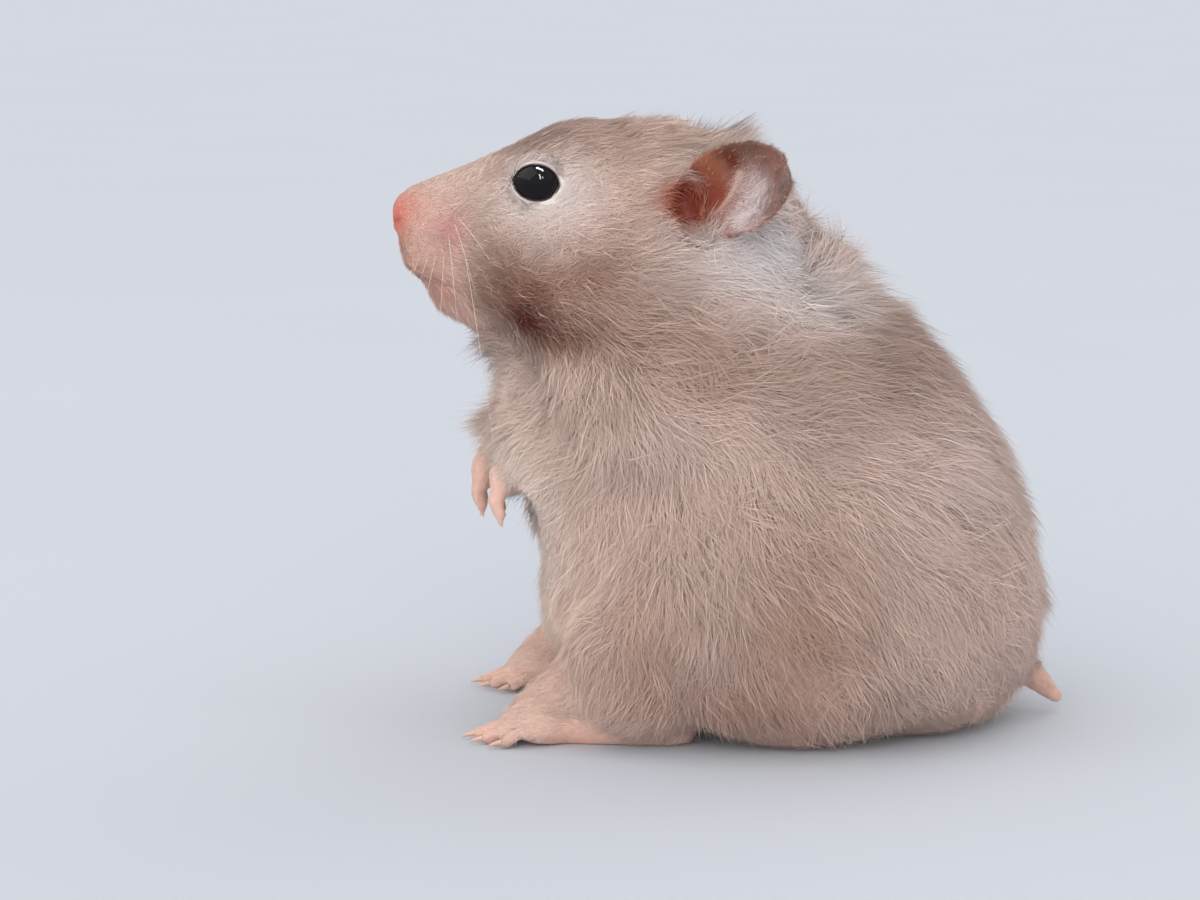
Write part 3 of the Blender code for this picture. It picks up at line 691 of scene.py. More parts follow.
def on_ears(values, points, normals, owners, look):
    """These colours or this bareness, with the ears' own in their place on the ears."""
    values = values.copy()
    for side in SIDES:
        here = owners == "ear_" + side
        colour, _, bareness = ear_look(points[here], normals[here], side)
        values[here] = colour if look == "colour" else bareness
    return values


def canal_share(points, side):
    """How far each place lies in the ear's canal, from 0 to 1."""
    arm = (points - ear_axes(side)[0]) / MM - np.array(CANAL) * (1, SIDES[side], 1)
    return np.exp(-np.sum((arm / CANAL_SPREAD) ** 2, axis=1))


def shape_ears(mesh):
    """Hollows the ears and raises their folds and rims, both faces moving together."""
    points, normals = points_of(mesh), normals_of(mesh)
    owners = solids_near(points)
    for side in SIDES:
        here = owners == "ear_" + side
        root, _, facing, _, _ = ear_axes(side)
        _, relief, _ = ear_look(points[here], normals[here], side)
        hold = smoothstep(*EAR_HOLD, np.linalg.norm(points[here] - root, axis=1) / MM)
        points[here] += facing * (relief * hold * MM)[:, None]
    set_points(mesh, points)


# ---- Eyes ----

EYE_OUTWARD = (0.05, 1.0, 0.15)  # the right eye's axis
EYE_BACKWARD = (1.0, 0.0, -0.12)  # from the front corner of its opening to the back one
FRONT_CORNER, BACK_CORNER = (0.22, 7), (0.2, 3)  # half width in radians and length in degrees
EYE_REACH = 2.5  # radii from the eye's middle, within which a place is measured from the lids
FAR_AWAY = 99  # mm
CORNEA_BULGE, CORNEA_EDGE = 0.04, 0.7  # of the radius: how far it bulges, and how far ahead it begins


def eye_frame(side):
    """Centre, radius, and the outward, backward and upward axes of one eye."""
    low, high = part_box("eye_" + side)
    centre = np.array((low + high) / 2)
    radius = (high.z - low.z) / 2
    outward = unit(np.array(EYE_OUTWARD) * (1, SIDES[side], 1))
    backward = across(np.array(EYE_BACKWARD), outward)
    upward = unit(np.cross(outward, backward) * SIDES[side] * -1)
    return centre, radius, outward, backward, upward


def round_the_eye(points, side):
    """Each place as seen along the eye's axis: how far ahead of its centre and aside of its axis, the way
    aside, and the edge's distance from the axis and its height in that direction."""
    centre, radius, outward, backward, upward = eye_frame(side)
    arm = points - centre
    ahead = arm @ outward
    turn = np.arctan2(arm @ upward, arm @ backward)
    way = np.cos(turn)[:, None] * backward + np.sin(turn)[:, None] * upward
    edge = opening_edge(turn, bpy.context.scene.hamster_eyes)
    return ahead, np.sum(arm * way, axis=1), way, radius * np.sin(edge), radius * np.cos(edge)


def rim_distance(points, side):
    """Distance in mm from the edge of the lids, less than nothing inside the opening."""
    radius = eye_frame(side)[1]
    ahead, aside, _, rim, rim_height = round_the_eye(points, side)
    past = np.where(aside < rim, aside - rim, np.hypot(aside - rim, ahead - rim_height)) / MM
    close = (ahead > -0.5 * MM) & (np.hypot(ahead, aside) < EYE_REACH * radius)
    return np.where(close, past, FAR_AWAY)


def opening_edge(turn, eyes):
    """Half angle of the opening between the lids, in each direction round the eye's axis."""
    oval = 1 / np.hypot(np.cos(turn) / eyes.half_width, np.sin(turn) / eyes.half_height)
    (front_width, front), (back_width, back) = FRONT_CORNER, BACK_CORNER
    front_corner = np.exp(-(((np.abs(turn) - math.pi) / front_width) ** 2)) * math.radians(front)
    back_corner = np.exp(-((turn / back_width) ** 2)) * math.radians(back)
    return oval + front_corner + back_corner


# ---- Skin ----

FINE_ZONES = (  # centre and radius in mm, on the right half, of where the skin's cells are halved
    ((-25.3, 10.0, 70.5), 6.0),
    ((-42.0, 0.0, 64.0), 6.5),
)
LID_COVER = 0.12  # mm of skin over the ball outside the opening
LID_SLOPE = 0.55  # how steeply the face rises from the edge of the lids
LID_BAND = 1.0  # mm either side of the opening's edge that get the finest cells
LID_SNAP = 0.06 * MM  # corners of the skin this near to the opening's edge move onto it
LID_ROLL, LID_WIDTH = 0.18 * MM, 0.3 * MM  # over which the lid thickens, and how far it lies on the ball
LID_REACH = 5 * MM  # past the ball, how far the lids shape the face
BALL_GAP = (0.03 * MM, 0.04 * MM)  # between the ball and the edges of its socket and its lids
BALL_FRONT, BALL_CORE = 0.2 * MM, 0.4  # where the lids end behind, and the part of the ball left alone
SOCKET_DEPTH, SOCKET_EDGE = 0.8 * MM, 0.25 * MM  # how far the skin sinks behind the ball, and how soon
BARE_MARGIN = 0.6  # mm round each bare part, where the skin's cells stay fine
SKIN_TONE = 0.95  # how bright the skin is beside the markings
PINKNESS = 0.75  # how far the skin's own pink shows on the paws, feet and tail
LID_RIM = (0.18, 0.42)  # mm from the opening, over which its dark rim ends
PALE_LIDS, PALE_GAIN = (0.6, 1.8), 0.35  # the same of the brighter skin round it, and how much brighter
# how strongly the canal's red with its painted shade, and the folds' painted shade, cover the skin
CANAL_STRENGTH, FOLD_STRENGTH = 1.4, 0.9


def joined_flesh():
    """Copies of the solids of flesh, with the eyes in their sockets, as one mesh of closed shells."""
    copies = []
    for name in (*FLESH_NODES, *EYE_NODES):
        copied = bpy.data.objects.new("skin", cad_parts[name].data.copy())
        bpy.context.scene.collection.objects.link(copied)
        copies.append(copied)
    use(*copies)
    bpy.ops.object.join()
    skin = bpy.context.view_layer.objects.active
    edit_all(skin, bpy.ops.mesh.remove_doubles, threshold=0.001 * MM)
    skin.name = "skin"
    return skin


def halve_cells(obj, chosen):
    """Subdivides the chosen faces once."""
    mesh = obj.data
    bpy.context.tool_settings.mesh_select_mode = (False, False, True)
    mesh.vertices.foreach_set("select", np.zeros(len(mesh.vertices), bool))
    mesh.edges.foreach_set("select", np.zeros(len(mesh.edges), bool))
    mesh.polygons.foreach_set("select", chosen)
    use(obj)
    bpy.ops.object.mode_set(mode="EDIT")
    bpy.ops.mesh.subdivide(number_cuts=1)
    bpy.ops.object.mode_set(mode="OBJECT")


def thin_out_body(skin):
    """Merges cells where long hair covers them, and leaves the face, ears, paws and feet fine."""
    settings = bpy.context.scene.hamster_skin
    group = skin.vertex_groups.new(name="coarse")
    points = points_of(skin.data) / MM
    fine = (points[:, 2] > FACE_LOW) & (points[:, 0] < FACE_BACK)
    for name in BARE_NODES:
        low, high = (np.array(corner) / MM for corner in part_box(name))
        fine |= np.all((points > low - BARE_MARGIN) & (points < high + BARE_MARGIN), axis=1)
    coarse = np.flatnonzero(~fine)
    group.add([int(index) for index in coarse], 1.0, "REPLACE")
    share = len(coarse) / len(points)
    ratio = 1 - share * (1 - settings.covered_share)
    finish_with(skin, "DECIMATE", ratio=ratio, vertex_group="coarse", use_collapse_triangulate=True)
    skin.vertex_groups.clear()


def short_on_paws(lengths, owners):
    """Keeps hairs short where only down grows."""
    for stem, longest in LONGEST_DOWN.items():
        lengths = np.where(starts(owners, stem), np.minimum(lengths, longest * MM), lengths)
    return lengths


def coat_depth(points, owners):
    """How far the skin lies inside the coat's outer surface."""
    _, lengths, lifts = coat_at(points)
    lengths = short_on_paws(lengths, owners)
    depth = np.minimum(lengths * np.sin(lifts), DEEPEST_COAT * MM)
    depth[starts(owners, "ear")] = SKIN_UNDER_EAR_HAIR * MM
    depth[owners == "nose"] = 0
    depth[starts(owners, "forepaw")] -= PAW_FULLNESS * MM
    return depth


def spread_over_neighbours(mesh, values, rounds):
    """Averages a value over each vertex and its neighbours, some times over."""
    ends = rows_of(mesh.edges, "vertices", 2, np.int32)
    first, second = ends.T
    count = np.bincount(ends.ravel(), minlength=len(values)) + 1
    for _ in range(rounds):
        total = values.copy()
        total += np.bincount(first, values[second], len(values))
        total += np.bincount(second, values[first], len(values))
        values = total / count
    return values


def shape_lids(mesh, lid_thickness):
    """Opens the lids round each eyeball: a hollow behind the ball, a rolled rim, a slope up to the face."""
    points = points_of(mesh)
    for side in SIDES:
        centre, radius, outward, _, _ = eye_frame(side)
        ahead, aside, way, rim, rim_height = round_the_eye(points, side)
        beyond = aside - rim
        snapped = np.abs(beyond) < LID_SNAP
        beyond = np.where(snapped, 0, beyond)
        wide = np.where(snapped, rim, aside)
        ball = np.sqrt(np.maximum(radius**2 - wide**2, 0))
        hollow = ball + BALL_GAP[0] - SOCKET_DEPTH * smoothstep(0, SOCKET_EDGE, -beyond)
        lid = ball + BALL_GAP[1] + lid_thickness * (1 - np.exp(-np.maximum(beyond, 0) / LID_ROLL))
        slope = rim_height + lid_thickness + LID_SLOPE * np.maximum(beyond, 0)
        outer = np.minimum(ahead, slope)
        outer = np.where(wide < radius, np.maximum(outer, lid), outer)
        outer = np.where(beyond < LID_WIDTH, lid, outer)
        wanted = np.where(beyond < 0, hollow, outer)
        near = (np.linalg.norm(points - centre, axis=1) < radius + LID_REACH) & (ahead > BALL_FRONT)
        moved = centre + outward * wanted[:, None] + way * wide[:, None]
        points = np.where(near[:, None], moved, points)
        arm = points - centre
        far = np.linalg.norm(arm, axis=1)
        opening = (aside < rim - LID_SNAP) & (ahead > 0)
        sunk = (far > BALL_CORE * radius) & (far < radius + LID_COVER * MM) & ~opening
        points[sunk] = centre + unit(arm[sunk]) * (radius + LID_COVER * MM)
    set_points(mesh, points)


def sink_folds(mesh):
    """Presses the nostrils, the philtrum and the line of the mouth into the skin."""
    points = points_of(mesh)
    depth = sum(share * fold[3] for share, fold in zip(fold_shares(points), FOLDS))
    set_points(mesh, points - normals_of(mesh) * (depth * MM)[:, None])


def skin_tint(points, normals, owners):
    """Colours of the skin: the coat's markings where hair grows, its own pinks where it is bare, and painted
    shade and glow on the ears and in the folds of the face.
    """
    settings = bpy.context.scene.hamster_skin
    tint = coat_colour(points) * SKIN_TONE
    tint = mixed(tint, settings.pink, PINKNESS * starts(owners, "forepaw", "hind_foot", "tail"))
    tint = on_ears(tint, points, normals, owners, "colour")
    for side in SIDES:
        # the canal's dark red: red skin darkened as painted shade of the hollow
        canal = np.minimum(CANAL_STRENGTH * canal_share(points, side), 1)
        tint = mixed(tint, linear(SHADED_CANAL_RED), canal)
        past = rim_distance(points, side)
        tint *= (1 + PALE_GAIN - PALE_GAIN * smoothstep(*PALE_LIDS, past))[:, None]
        tint = mixed(tint, settings.lid_dark, 1 - smoothstep(*LID_RIM, past))
    # darken each fold with its colour: painted shade inside the nostrils, the philtrum and the line of the
    # mouth
    for share, fold in zip(fold_shares(points), FOLDS):
        tint = mixed(tint, linear(fold[4]), FOLD_STRENGTH * share)
    return tint.clip(0, PALEST)


def build_skin():
    """Casts the flesh as one skin, thins it out, sinks it by the coat's depth, and shapes and colours it."""
    settings = bpy.context.scene.hamster_skin
    skin = joined_flesh()
    finish_with(skin, "DISPLACE", strength=settings.closing, mid_level=0)
    finish_with(skin, "REMESH", mode="VOXEL", voxel_size=settings.grain)
    finish_with(skin, "SMOOTH", factor=0.5, iterations=4)
    thin_out_body(skin)
    for place, radius in FINE_ZONES:
        right, _ = folded(centres_of(skin.data))
        halve_cells(skin, np.linalg.norm(right - place, axis=1) < radius)
    finish_with(skin, "SMOOTH", factor=0.5, iterations=2)
    mesh = skin.data
    points = points_of(mesh)
    owners = solids_near(points)
    depth = coat_depth(points, owners) + settings.closing * 0.5
    depth = spread_over_neighbours(mesh, depth, rounds=6)
    set_points(mesh, points - normals_of(mesh) * depth[:, None])
    finish_with(skin, "SMOOTH", factor=0.4, iterations=2)
    centres = centres_of(mesh)
    band = np.zeros(len(centres), bool)
    for side in SIDES:
        band |= np.abs(rim_distance(centres, side)) < LID_BAND
    halve_cells(skin, band)
    mesh = skin.data
    shape_ears(mesh)
    sink_folds(mesh)
    shape_lids(mesh, settings.lid_thickness)
    points = points_of(mesh)
    set_tint(mesh, skin_tint(points, normals_of(mesh), solids_near(points)))
    mesh.shade_smooth()
    return skin


class HAMSTER_OT_skin(bpy.types.Operator):
    """Casts one skin over the solids of flesh, a coat's depth inside them, with lids and folds"""

    bl_idname = "hamster.skin"
    bl_label = "Skin"

    def execute(self, context):
        skin = build_skin()
        unwrap(skin, margin=0.002)
        skin.data.uv_layers[0].name = "OFBake"
        keep(skin, "bare_skin", soft_hide(), *FLESH_NODES)
        return {"FINISHED"}


class HAMSTER_OT_eyes(bpy.types.Operator):
    """Sets a smooth wet eyeball in each socket"""

    bl_idname = "hamster.eyes"
    bl_label = "Eyes"

    def execute(self, context):
        material = wet_eye()
        for side in SIDES:
            centre, radius, outward, _, _ = eye_frame(side)
            bpy.ops.object.select_all(action="DESELECT")
            bpy.ops.mesh.primitive_uv_sphere_add(segments=64, ring_count=32, radius=radius, location=centre)
            ball = bpy.context.view_layer.objects.active
            bpy.ops.object.transform_apply(location=True, rotation=True, scale=True)
            points = points_of(ball.data)
            arm = points - centre
            ahead = np.clip(arm @ outward / radius, 0, 1)
            bulge = CORNEA_BULGE * radius * smoothstep(CORNEA_EDGE, 1, ahead)
            set_points(ball.data, points + unit(arm) * bulge[:, None])
            ball.data.shade_smooth()
            ball.name = "eyeball_" + side
            keep(ball, "eye", material, "eye_" + side)
        return {"FINISHED"}


# ---- Coat ----

COAT_REGIONS = (
    "face_left", "face_right", "crown_left", "crown_right", "neck", "breast_left", "breast_right",
    "back_left", "back_right", "leg_left", "leg_right", "forelegs", "ears",
)
FACE_BACK, FACE_LOW = -14.0, 50  # mm, where the face ends behind and below
BREAST_BACK = -4.0  # mm, where the breast ends and the back begins

# one tuft
KINDS = {  # its share of its width at each ring, its tone at each ring and at the tip, its share of all
    "straight": ((1.0,), (0.9, 1.04), 0.8),
    "curved": ((0.8, 1.0), (0.85, 0.98, 1.06), 0.2),
}
SECTION = np.radians((90.0, 210.0, 330.0))  # corners of its three-sided section
TUFT_PATCH = 0.003  # of the unwrap, across
CAP_HEIGHT, FIRST_RING = 0.12, 0.15  # of that patch: the root's cap, and where the sides begin
ROOT_DEPTH = 0.08 * MM  # how far its root sinks in the skin
BEND = 0.42  # of its length, where it bends over
ROOT_RISE, STEEPEST, TIP_RISE = 1.5, 1.2, 0.55  # how steep it is below the bend, at most, and above it
NARROW_HAIR, BROAD_HAIR = 1.5, 9.0  # mm of length, between which tufts widen to the body's width
LENGTH_RANGE, WIDTH_RANGE, LIFT_RANGE = (0.5, 1.5), (0.75, 1.25), (0.75, 1.25)  # beside the coat's own
GUARD_PALENESS, GUARD_LENGTH, GUARD_WIDTH = 0.45, 1.2, 0.6  # the last two beside the other hairs
FLOOR_GAP = 0.05 * MM  # between the floor and the lowest hairs

# many together
LOCK_TUFTS, DRIFT_TUFTS = 18, 260  # tufts in a lock, and in a drift of locks that stray together
LOCK_STRAY, DRIFT_STRAY = 0.6, 0.8  # how unruly locks and drifts are beside single tufts
LOCK_LIFT_RANGE = (0.8, 1.2)  # how far locks differ in steepness
PULL_RANGE = (0.3, 1.0)  # how far tufts differ in how strongly they gather
FURTHEST_PULL = 0.75  # of a tuft's length, how far its tip is drawn
MIDDLE_PULL = 0.4  # of its tip's way, how far the middle of a tuft goes
DRIFT_PULL = (0.25, 2.4)  # beside a lock's: in a flat coat, and how much more in a raised one
FLAT_COAT, RAISED_COAT = np.radians((24, 44))  # steepness from which hairs begin to clump, and all do
CLUMP_LENGTH = 0.6  # how much longer a clump may be than the coat round it

# where hairs grow
SHORT_HAIR, LONG_HAIR = 1.8, 5.5  # mm, between which the coat thins out from the face's tufts to the body's
NOSE_TIP = (-43.6, 0.0, 65.4)  # mm, the middle of the bare skin of the nose
NOSE_EDGE = (2.0, 4.0)  # mm from there, over which hairs begin
LID_EDGE = (0.35, 0.75)  # mm from the opening of the eye, over which hairs begin
LID_MARGIN = 0.12  # mm between the edge of the lids and the tips of the hairs round them
SHORTEST_LEFT = 0.1  # of a tuft that is cut short there
# the second pair: over which the hairs in the canal take its dark red, painted shade of the hollow
CANAL_EDGE, CANAL_HAIR_EDGE = (0.5, 0.85), (0.15, 0.6)  # shares of the canal: hairs end, and turn red
TOE_EDGE = (-27, -34)  # mm along the body, over which the hairs of the hind feet end
SOLE_EDGE, SOLE_TURN = (2.5, 0.8), (-0.5, -0.9)  # mm above the floor, and how far a place faces down
PAW_BARENESS, SOLE_BARENESS = 0.6, 0.75

# how they look
TUFT_VALUE, LOCK_VALUE = 0.05, 0.06  # how far tufts, and their locks and drifts, differ in brightness
PALE_HAIRS, DARK_HAIRS = 0.12, 0.08  # shares of the tufts
PALE_RANGE, DARK_RANGE = (0.1, 0.3), (0.05, 0.25)  # how pale and how dark those are
PALEST = 0.95  # of white, the palest that a hair may be
ROUNDNESS = 0.22  # how far a tuft is shaded by its own faces, and not the skin's


def tuft_faces(rings):
    """Triangles of one closed tuft: a root cap, a band between each two rings, and a pointed end."""
    last = 3 * (rings - 1)
    end = [(last + j, last + (j + 1) % 3, last + 3) for j in range(3)]
    return np.array([(0, 2, 1), *bands(3, rings), *end])


def tuft_face_uv(rings):
    """Places of the corners of those triangles on the tuft's patch of the unwrap, from 0 to 1."""
    third = 1 / 3
    levels = np.linspace(FIRST_RING, 1, rings + 1)
    rows = [((0, 0), (third, 0), (third / 2, CAP_HEIGHT))]
    for low, high in zip(levels[:-2], levels[1:-1]):
        for j in range(3):
            rows.append(((j * third, low), ((j + 1) * third, low), ((j + 1) * third, high)))
            rows.append(((j * third, low), ((j + 1) * third, high), (j * third, high)))
    for j in range(3):
        rows.append(((j * third, levels[-2]), ((j + 1) * third, levels[-2]), ((j + 0.5) * third, 1)))
    return np.array(rows)


def coat_region(owners, points):
    """Which piece of the coat each place belongs to."""
    head = np.isin(owners, ("head", "nose", *EYE_NODES))
    trunk = np.isin(owners, ("trunk", "tail"))
    face = points[:, 0] < FACE_BACK * MM
    breast = points[:, 0] < BREAST_BACK * MM
    paired = {
        "face_": head & face, "crown_": head & ~face, "breast_": trunk & breast, "back_": trunk & ~breast,
        "leg_": starts(owners, "thigh", "shin", "hind_foot"),
    }
    side = np.where(points[:, 1] < 0, "left", "right")
    region = np.full(len(points), "neck", dtype="<U16")
    for stem, here in paired.items():
        region[here] = np.char.add(stem, side[here])
    region[starts(owners, "fore")] = "forelegs"
    region[starts(owners, "ear")] = "ears"
    return region


def skin_triangles(skin):
    """The skin as arrays: vertices, their normals, triangles, and the solid that each triangle stands for."""
    mesh = skin.data
    mesh.calc_loop_triangles()
    triangles = rows_of(mesh.loop_triangles, "vertices", 3, np.int32)
    points = points_of(mesh)
    centres = points[triangles].mean(axis=1)
    return points, normals_of(mesh), triangles, solids_near(centres)


def unwrap_region(name, points, triangles):
    """Unwraps a region of the skin by its own shape, and gives the place on it of each triangle's corners."""
    used, corner = np.unique(triangles, return_inverse=True)
    patch = mesh_from_arrays(name, points[used], corner.reshape(-1, 3), np.zeros((triangles.size, 2)))
    unwrap(patch, margin=0.003)
    flat = rows_of(patch.data.uv_layers[0].uv, "vector", 2).astype(float)
    bpy.data.objects.remove(patch)
    return flat.reshape(-1, 3, 2)


def bare_share(points, normals, owners):
    """From 0 where the coat is full to 1 where the skin is bare."""
    right, _ = folded(points)
    bare = 1 - smoothstep(*NOSE_EDGE, np.linalg.norm(right - NOSE_TIP, axis=1))
    bare = on_ears(bare, points, normals, owners, "bareness")
    for side in SIDES:
        bare = np.maximum(bare, 1 - smoothstep(*LID_EDGE, rim_distance(points, side)))
        bare = np.maximum(bare, smoothstep(*CANAL_EDGE, canal_share(points, side)))
    bare = np.where(owners == "tail", PAW_BARENESS, bare)
    bare = np.where(starts(owners, "forepaw"), np.maximum(bare, PAW_BARENESS), bare)
    toes = np.maximum(bare, smoothstep(*TOE_EDGE, right[:, 0]))
    bare = np.where(starts(owners, "hind_foot"), toes, bare)
    sole = smoothstep(*SOLE_TURN, normals[:, 2]) * smoothstep(*SOLE_EDGE, right[:, 2])
    return np.maximum(bare, SOLE_BARENESS * sole)


def scatter(corners, uv, density, rng):
    """Places spread evenly over triangles: each one's triangle, its weights at the corners and its UV."""
    edges = corners[:, 1:] - corners[:, :1]
    area = np.linalg.norm(np.cross(edges[:, 0], edges[:, 1]), axis=1) / 2
    count = np.floor(area * density + rng.random(len(area))).astype(int)
    triangle = np.repeat(np.arange(len(area)), count)
    pair = rng.random((len(triangle), 2))
    over = pair.sum(axis=1) > 1
    pair[over] = 1 - pair[over]
    weights = np.column_stack((1 - pair.sum(axis=1), pair))
    return triangle, weights, np.einsum("nc,ncd->nd", weights, uv[triangle])


def risen(lie, stand, lift):
    """The way that a hair goes when it rises this steeply from its lie."""
    return np.cos(lift)[:, None] * lie + np.sin(lift)[:, None] * stand


def lean_over(roots, lie, stand, length, lift, body_points, body_normals):
    """The root, middle and tip of each tuft: it rises from the root and lies down towards the tip."""
    middle = roots + (length * BEND)[:, None] * risen(lie, stand, np.minimum(lift * ROOT_RISE, STEEPEST))
    there = body_normals[nearest(body_points, middle)]
    tip = middle + (length * (1 - BEND))[:, None] * risen(across(lie, there), there, lift * TIP_RISE)
    return np.stack((roots, middle, tip), axis=1)


def locks_of(roots, every, rng):
    """Gives each tuft the number of its lock, and the leading tuft of that lock."""
    leaders = rng.choice(len(roots), max(1, len(roots) // every), replace=False)
    lock = nearest(roots[leaders], roots)
    return lock, leaders[lock]


def gather(spines, share, leader):
    """Draws tips towards that of the leading tuft, so that they end in locks."""
    move = (spines[leader, 2] - spines[:, 2]) * share[:, None]
    furthest = FURTHEST_PULL * np.linalg.norm(spines[:, 2] - spines[:, 0], axis=1)
    move *= np.minimum(1, furthest / np.linalg.norm(move, axis=1).clip(1e-9))[:, None]
    spines[:, 2] += move
    spines[:, 1] += move * MIDDLE_PULL


def tuft_corners(spines, widths, shares, rng):
    """Corners of each tuft, three at each ring and its tip, and the direction that each faces."""
    ahead = unit(np.diff(spines, axis=1))
    count, rings = len(spines), len(shares)
    roll = rng.uniform(0, 2 * math.pi, count)
    helper = unit(rng.normal(size=(count, 3)))
    points, outward = [], []
    for ring, share in enumerate(shares):
        along = unit(ahead[:, max(ring - 1, 0)] + ahead[:, ring])
        sideways = unit(np.cross(helper, along))
        upward = np.cross(along, sideways)
        for corner in SECTION:
            turn = (roll + corner)[:, None]
            radial = np.cos(turn) * sideways + np.sin(turn) * upward
            points.append(spines[:, ring] + radial * (widths * 0.5 * share)[:, None])
            outward.append(radial)
    points.append(spines[:, rings])
    outward.append(ahead[:, -1])
    return np.stack(points, axis=1), np.stack(outward, axis=1)


def tuft_values(count, groups, rng):
    """How bright each tuft is beside its neighbours: its own share, its lock's and its drift's."""
    value = np.exp(rng.normal(0, TUFT_VALUE, count))
    for group in groups:
        value *= np.exp(rng.normal(0, LOCK_VALUE, group.max() + 1))[group]
    return value


def tuft_tints(places, stand, owners, guard, value, along, rng):
    """Colours of each tuft's corners: darker at the root, the marking's own tone, and a paler tip."""
    colours = bpy.context.scene.hamster_coat
    base = on_ears(coat_colour(places), places, stand, owners, "colour")
    for side in SIDES:
        # hairs in the canal take its dark red: painted shade of the hollow over the red skin
        base = mixed(base, linear(SHADED_CANAL_HAIR), smoothstep(*CANAL_HAIR_EDGE, canal_share(places, side)))
    count = len(places)
    pale = (rng.random(count) < PALE_HAIRS) * rng.uniform(*PALE_RANGE, count)
    dark = (rng.random(count) < DARK_HAIRS) * rng.uniform(*DARK_RANGE, count)
    base = mixed(base, colours.pale_hair, np.where(guard, GUARD_PALENESS, pale))
    base = mixed(base, colours.dark_hair, dark)
    base *= (value * colours.brightness)[:, None]
    tints = base[:, None] * np.array(along)[:, None]
    return tints * np.minimum(1, PALEST / tints.max(axis=2, keepdims=True).clip(1e-6))


def tufts_per_mm2(region, places, normals, owners):
    """How many tufts stand on a square millimetre at each place."""
    settings = bpy.context.scene.hamster_coat
    _, length, _ = coat_at(places)
    short = 1 - smoothstep(SHORT_HAIR, LONG_HAIR, length / MM)
    density = settings.body_density + (settings.face_density - settings.body_density) * short
    if region == "ears":
        density = np.full(len(places), settings.ear_density)
    return density * (1 - bare_share(places, normals, owners))


def sized(length, guard, rng):
    """Length and width of each tuft, a little apart from its neighbours'."""
    settings = bpy.context.scene.hamster_coat
    broad = smoothstep(NARROW_HAIR, BROAD_HAIR, length / MM)
    width = settings.face_width + (settings.body_width - settings.face_width) * broad
    length = length * rng.normal(1.0, settings.length_spread, len(length)).clip(*LENGTH_RANGE)
    width = width * rng.uniform(*WIDTH_RANGE, len(length)) * np.where(guard, GUARD_WIDTH, 1)
    return np.where(guard, length * GUARD_LENGTH, length), width


def combed(lie, stand, length, lift, lock, drift, rng):
    """Lets tufts, locks and drifts stray from the coat's lie, and lengthens clumps where it is raised."""
    unruliness = bpy.context.scene.hamster_coat.unruliness
    count = len(lie)
    stray = rng.normal(0, unruliness, lie.shape)
    stray += rng.normal(0, unruliness * LOCK_STRAY, lie.shape)[lock]
    stray += rng.normal(0, unruliness * DRIFT_STRAY, lie.shape)[drift]
    raised = smoothstep(FLAT_COAT, RAISED_COAT, lift)
    lift = lift * rng.uniform(*LIFT_RANGE, count) * rng.uniform(*LOCK_LIFT_RANGE, count)[lock]
    length = length * (1 + CLUMP_LENGTH * raised * rng.random(count)[drift])
    return across(lie + stray, stand), length, lift, raised


def grow(region, kind, skin_arrays, uv, rng):
    """The tufts of one kind on one region of the skin: corners, facings, tints and places on the unwrap."""
    settings = bpy.context.scene.hamster_coat
    shares, along, part = KINDS[kind]
    points, normals, triangles, owners = skin_arrays
    corners = points[triangles]
    facing = unit(normals[triangles].sum(axis=1))
    density = tufts_per_mm2(region, corners.mean(axis=1), facing, owners) * part
    triangle, weights, uv_roots = scatter(corners, uv, density / MM**2, rng)
    roots = np.einsum("nc,ncd->nd", weights, corners[triangle])
    stand = unit(np.einsum("nc,ncd->nd", weights, normals[triangles[triangle]]))
    count = len(roots)
    lie, length, lift = coat_at(roots)
    length = short_on_paws(length, owners[triangle])
    if region == "ears":
        lie, length, lift = ear_lie(roots, stand)
    guard = rng.random(count) < settings.guard_share
    length, width = sized(length, guard, rng)
    lock, leader = locks_of(roots, LOCK_TUFTS, rng)
    drift, drift_leader = locks_of(roots, DRIFT_TUFTS, rng)
    lie, length, lift, raised = combed(lie, stand, length, lift, lock, drift, rng)
    spines = lean_over(roots - stand * ROOT_DEPTH, lie, stand, length, lift, points, normals)
    pull = settings.gathering * rng.uniform(*PULL_RANGE, count)
    gather(spines, pull, leader)
    gather(spines, pull * (DRIFT_PULL[0] + DRIFT_PULL[1] * raised), drift_leader)
    keep_in_box(spines)
    if region.startswith("face"):
        keep_off_eyes(spines)
    value = tuft_values(count, (lock, drift), rng)
    seen = (spines[:, 1] + spines[:, 2]) / 2
    if kind == "straight":
        spines = spines[:, ::2]
    tuft, outward = tuft_corners(spines, width, shares, rng)
    tone = np.concatenate([np.repeat(along[:-1], 3), along[-1:]])
    tints = tuft_tints(seen, stand, owners[triangle], guard, value, tone, rng)
    shading = unit(stand[:, None] + outward * ROUNDNESS)
    faces = tuft_faces(len(shares))
    each = tuft.shape[1]
    corner_uv = uv_roots.clip(0, 1)[:, None, None] * (1 - TUFT_PATCH) + tuft_face_uv(len(shares)) * TUFT_PATCH
    index = (np.arange(count)[:, None, None] * each + faces).reshape(-1, 3)
    return tuft.reshape(-1, 3), shading.reshape(-1, 3), tints.reshape(-1, 3), index, corner_uv.reshape(-1, 2)


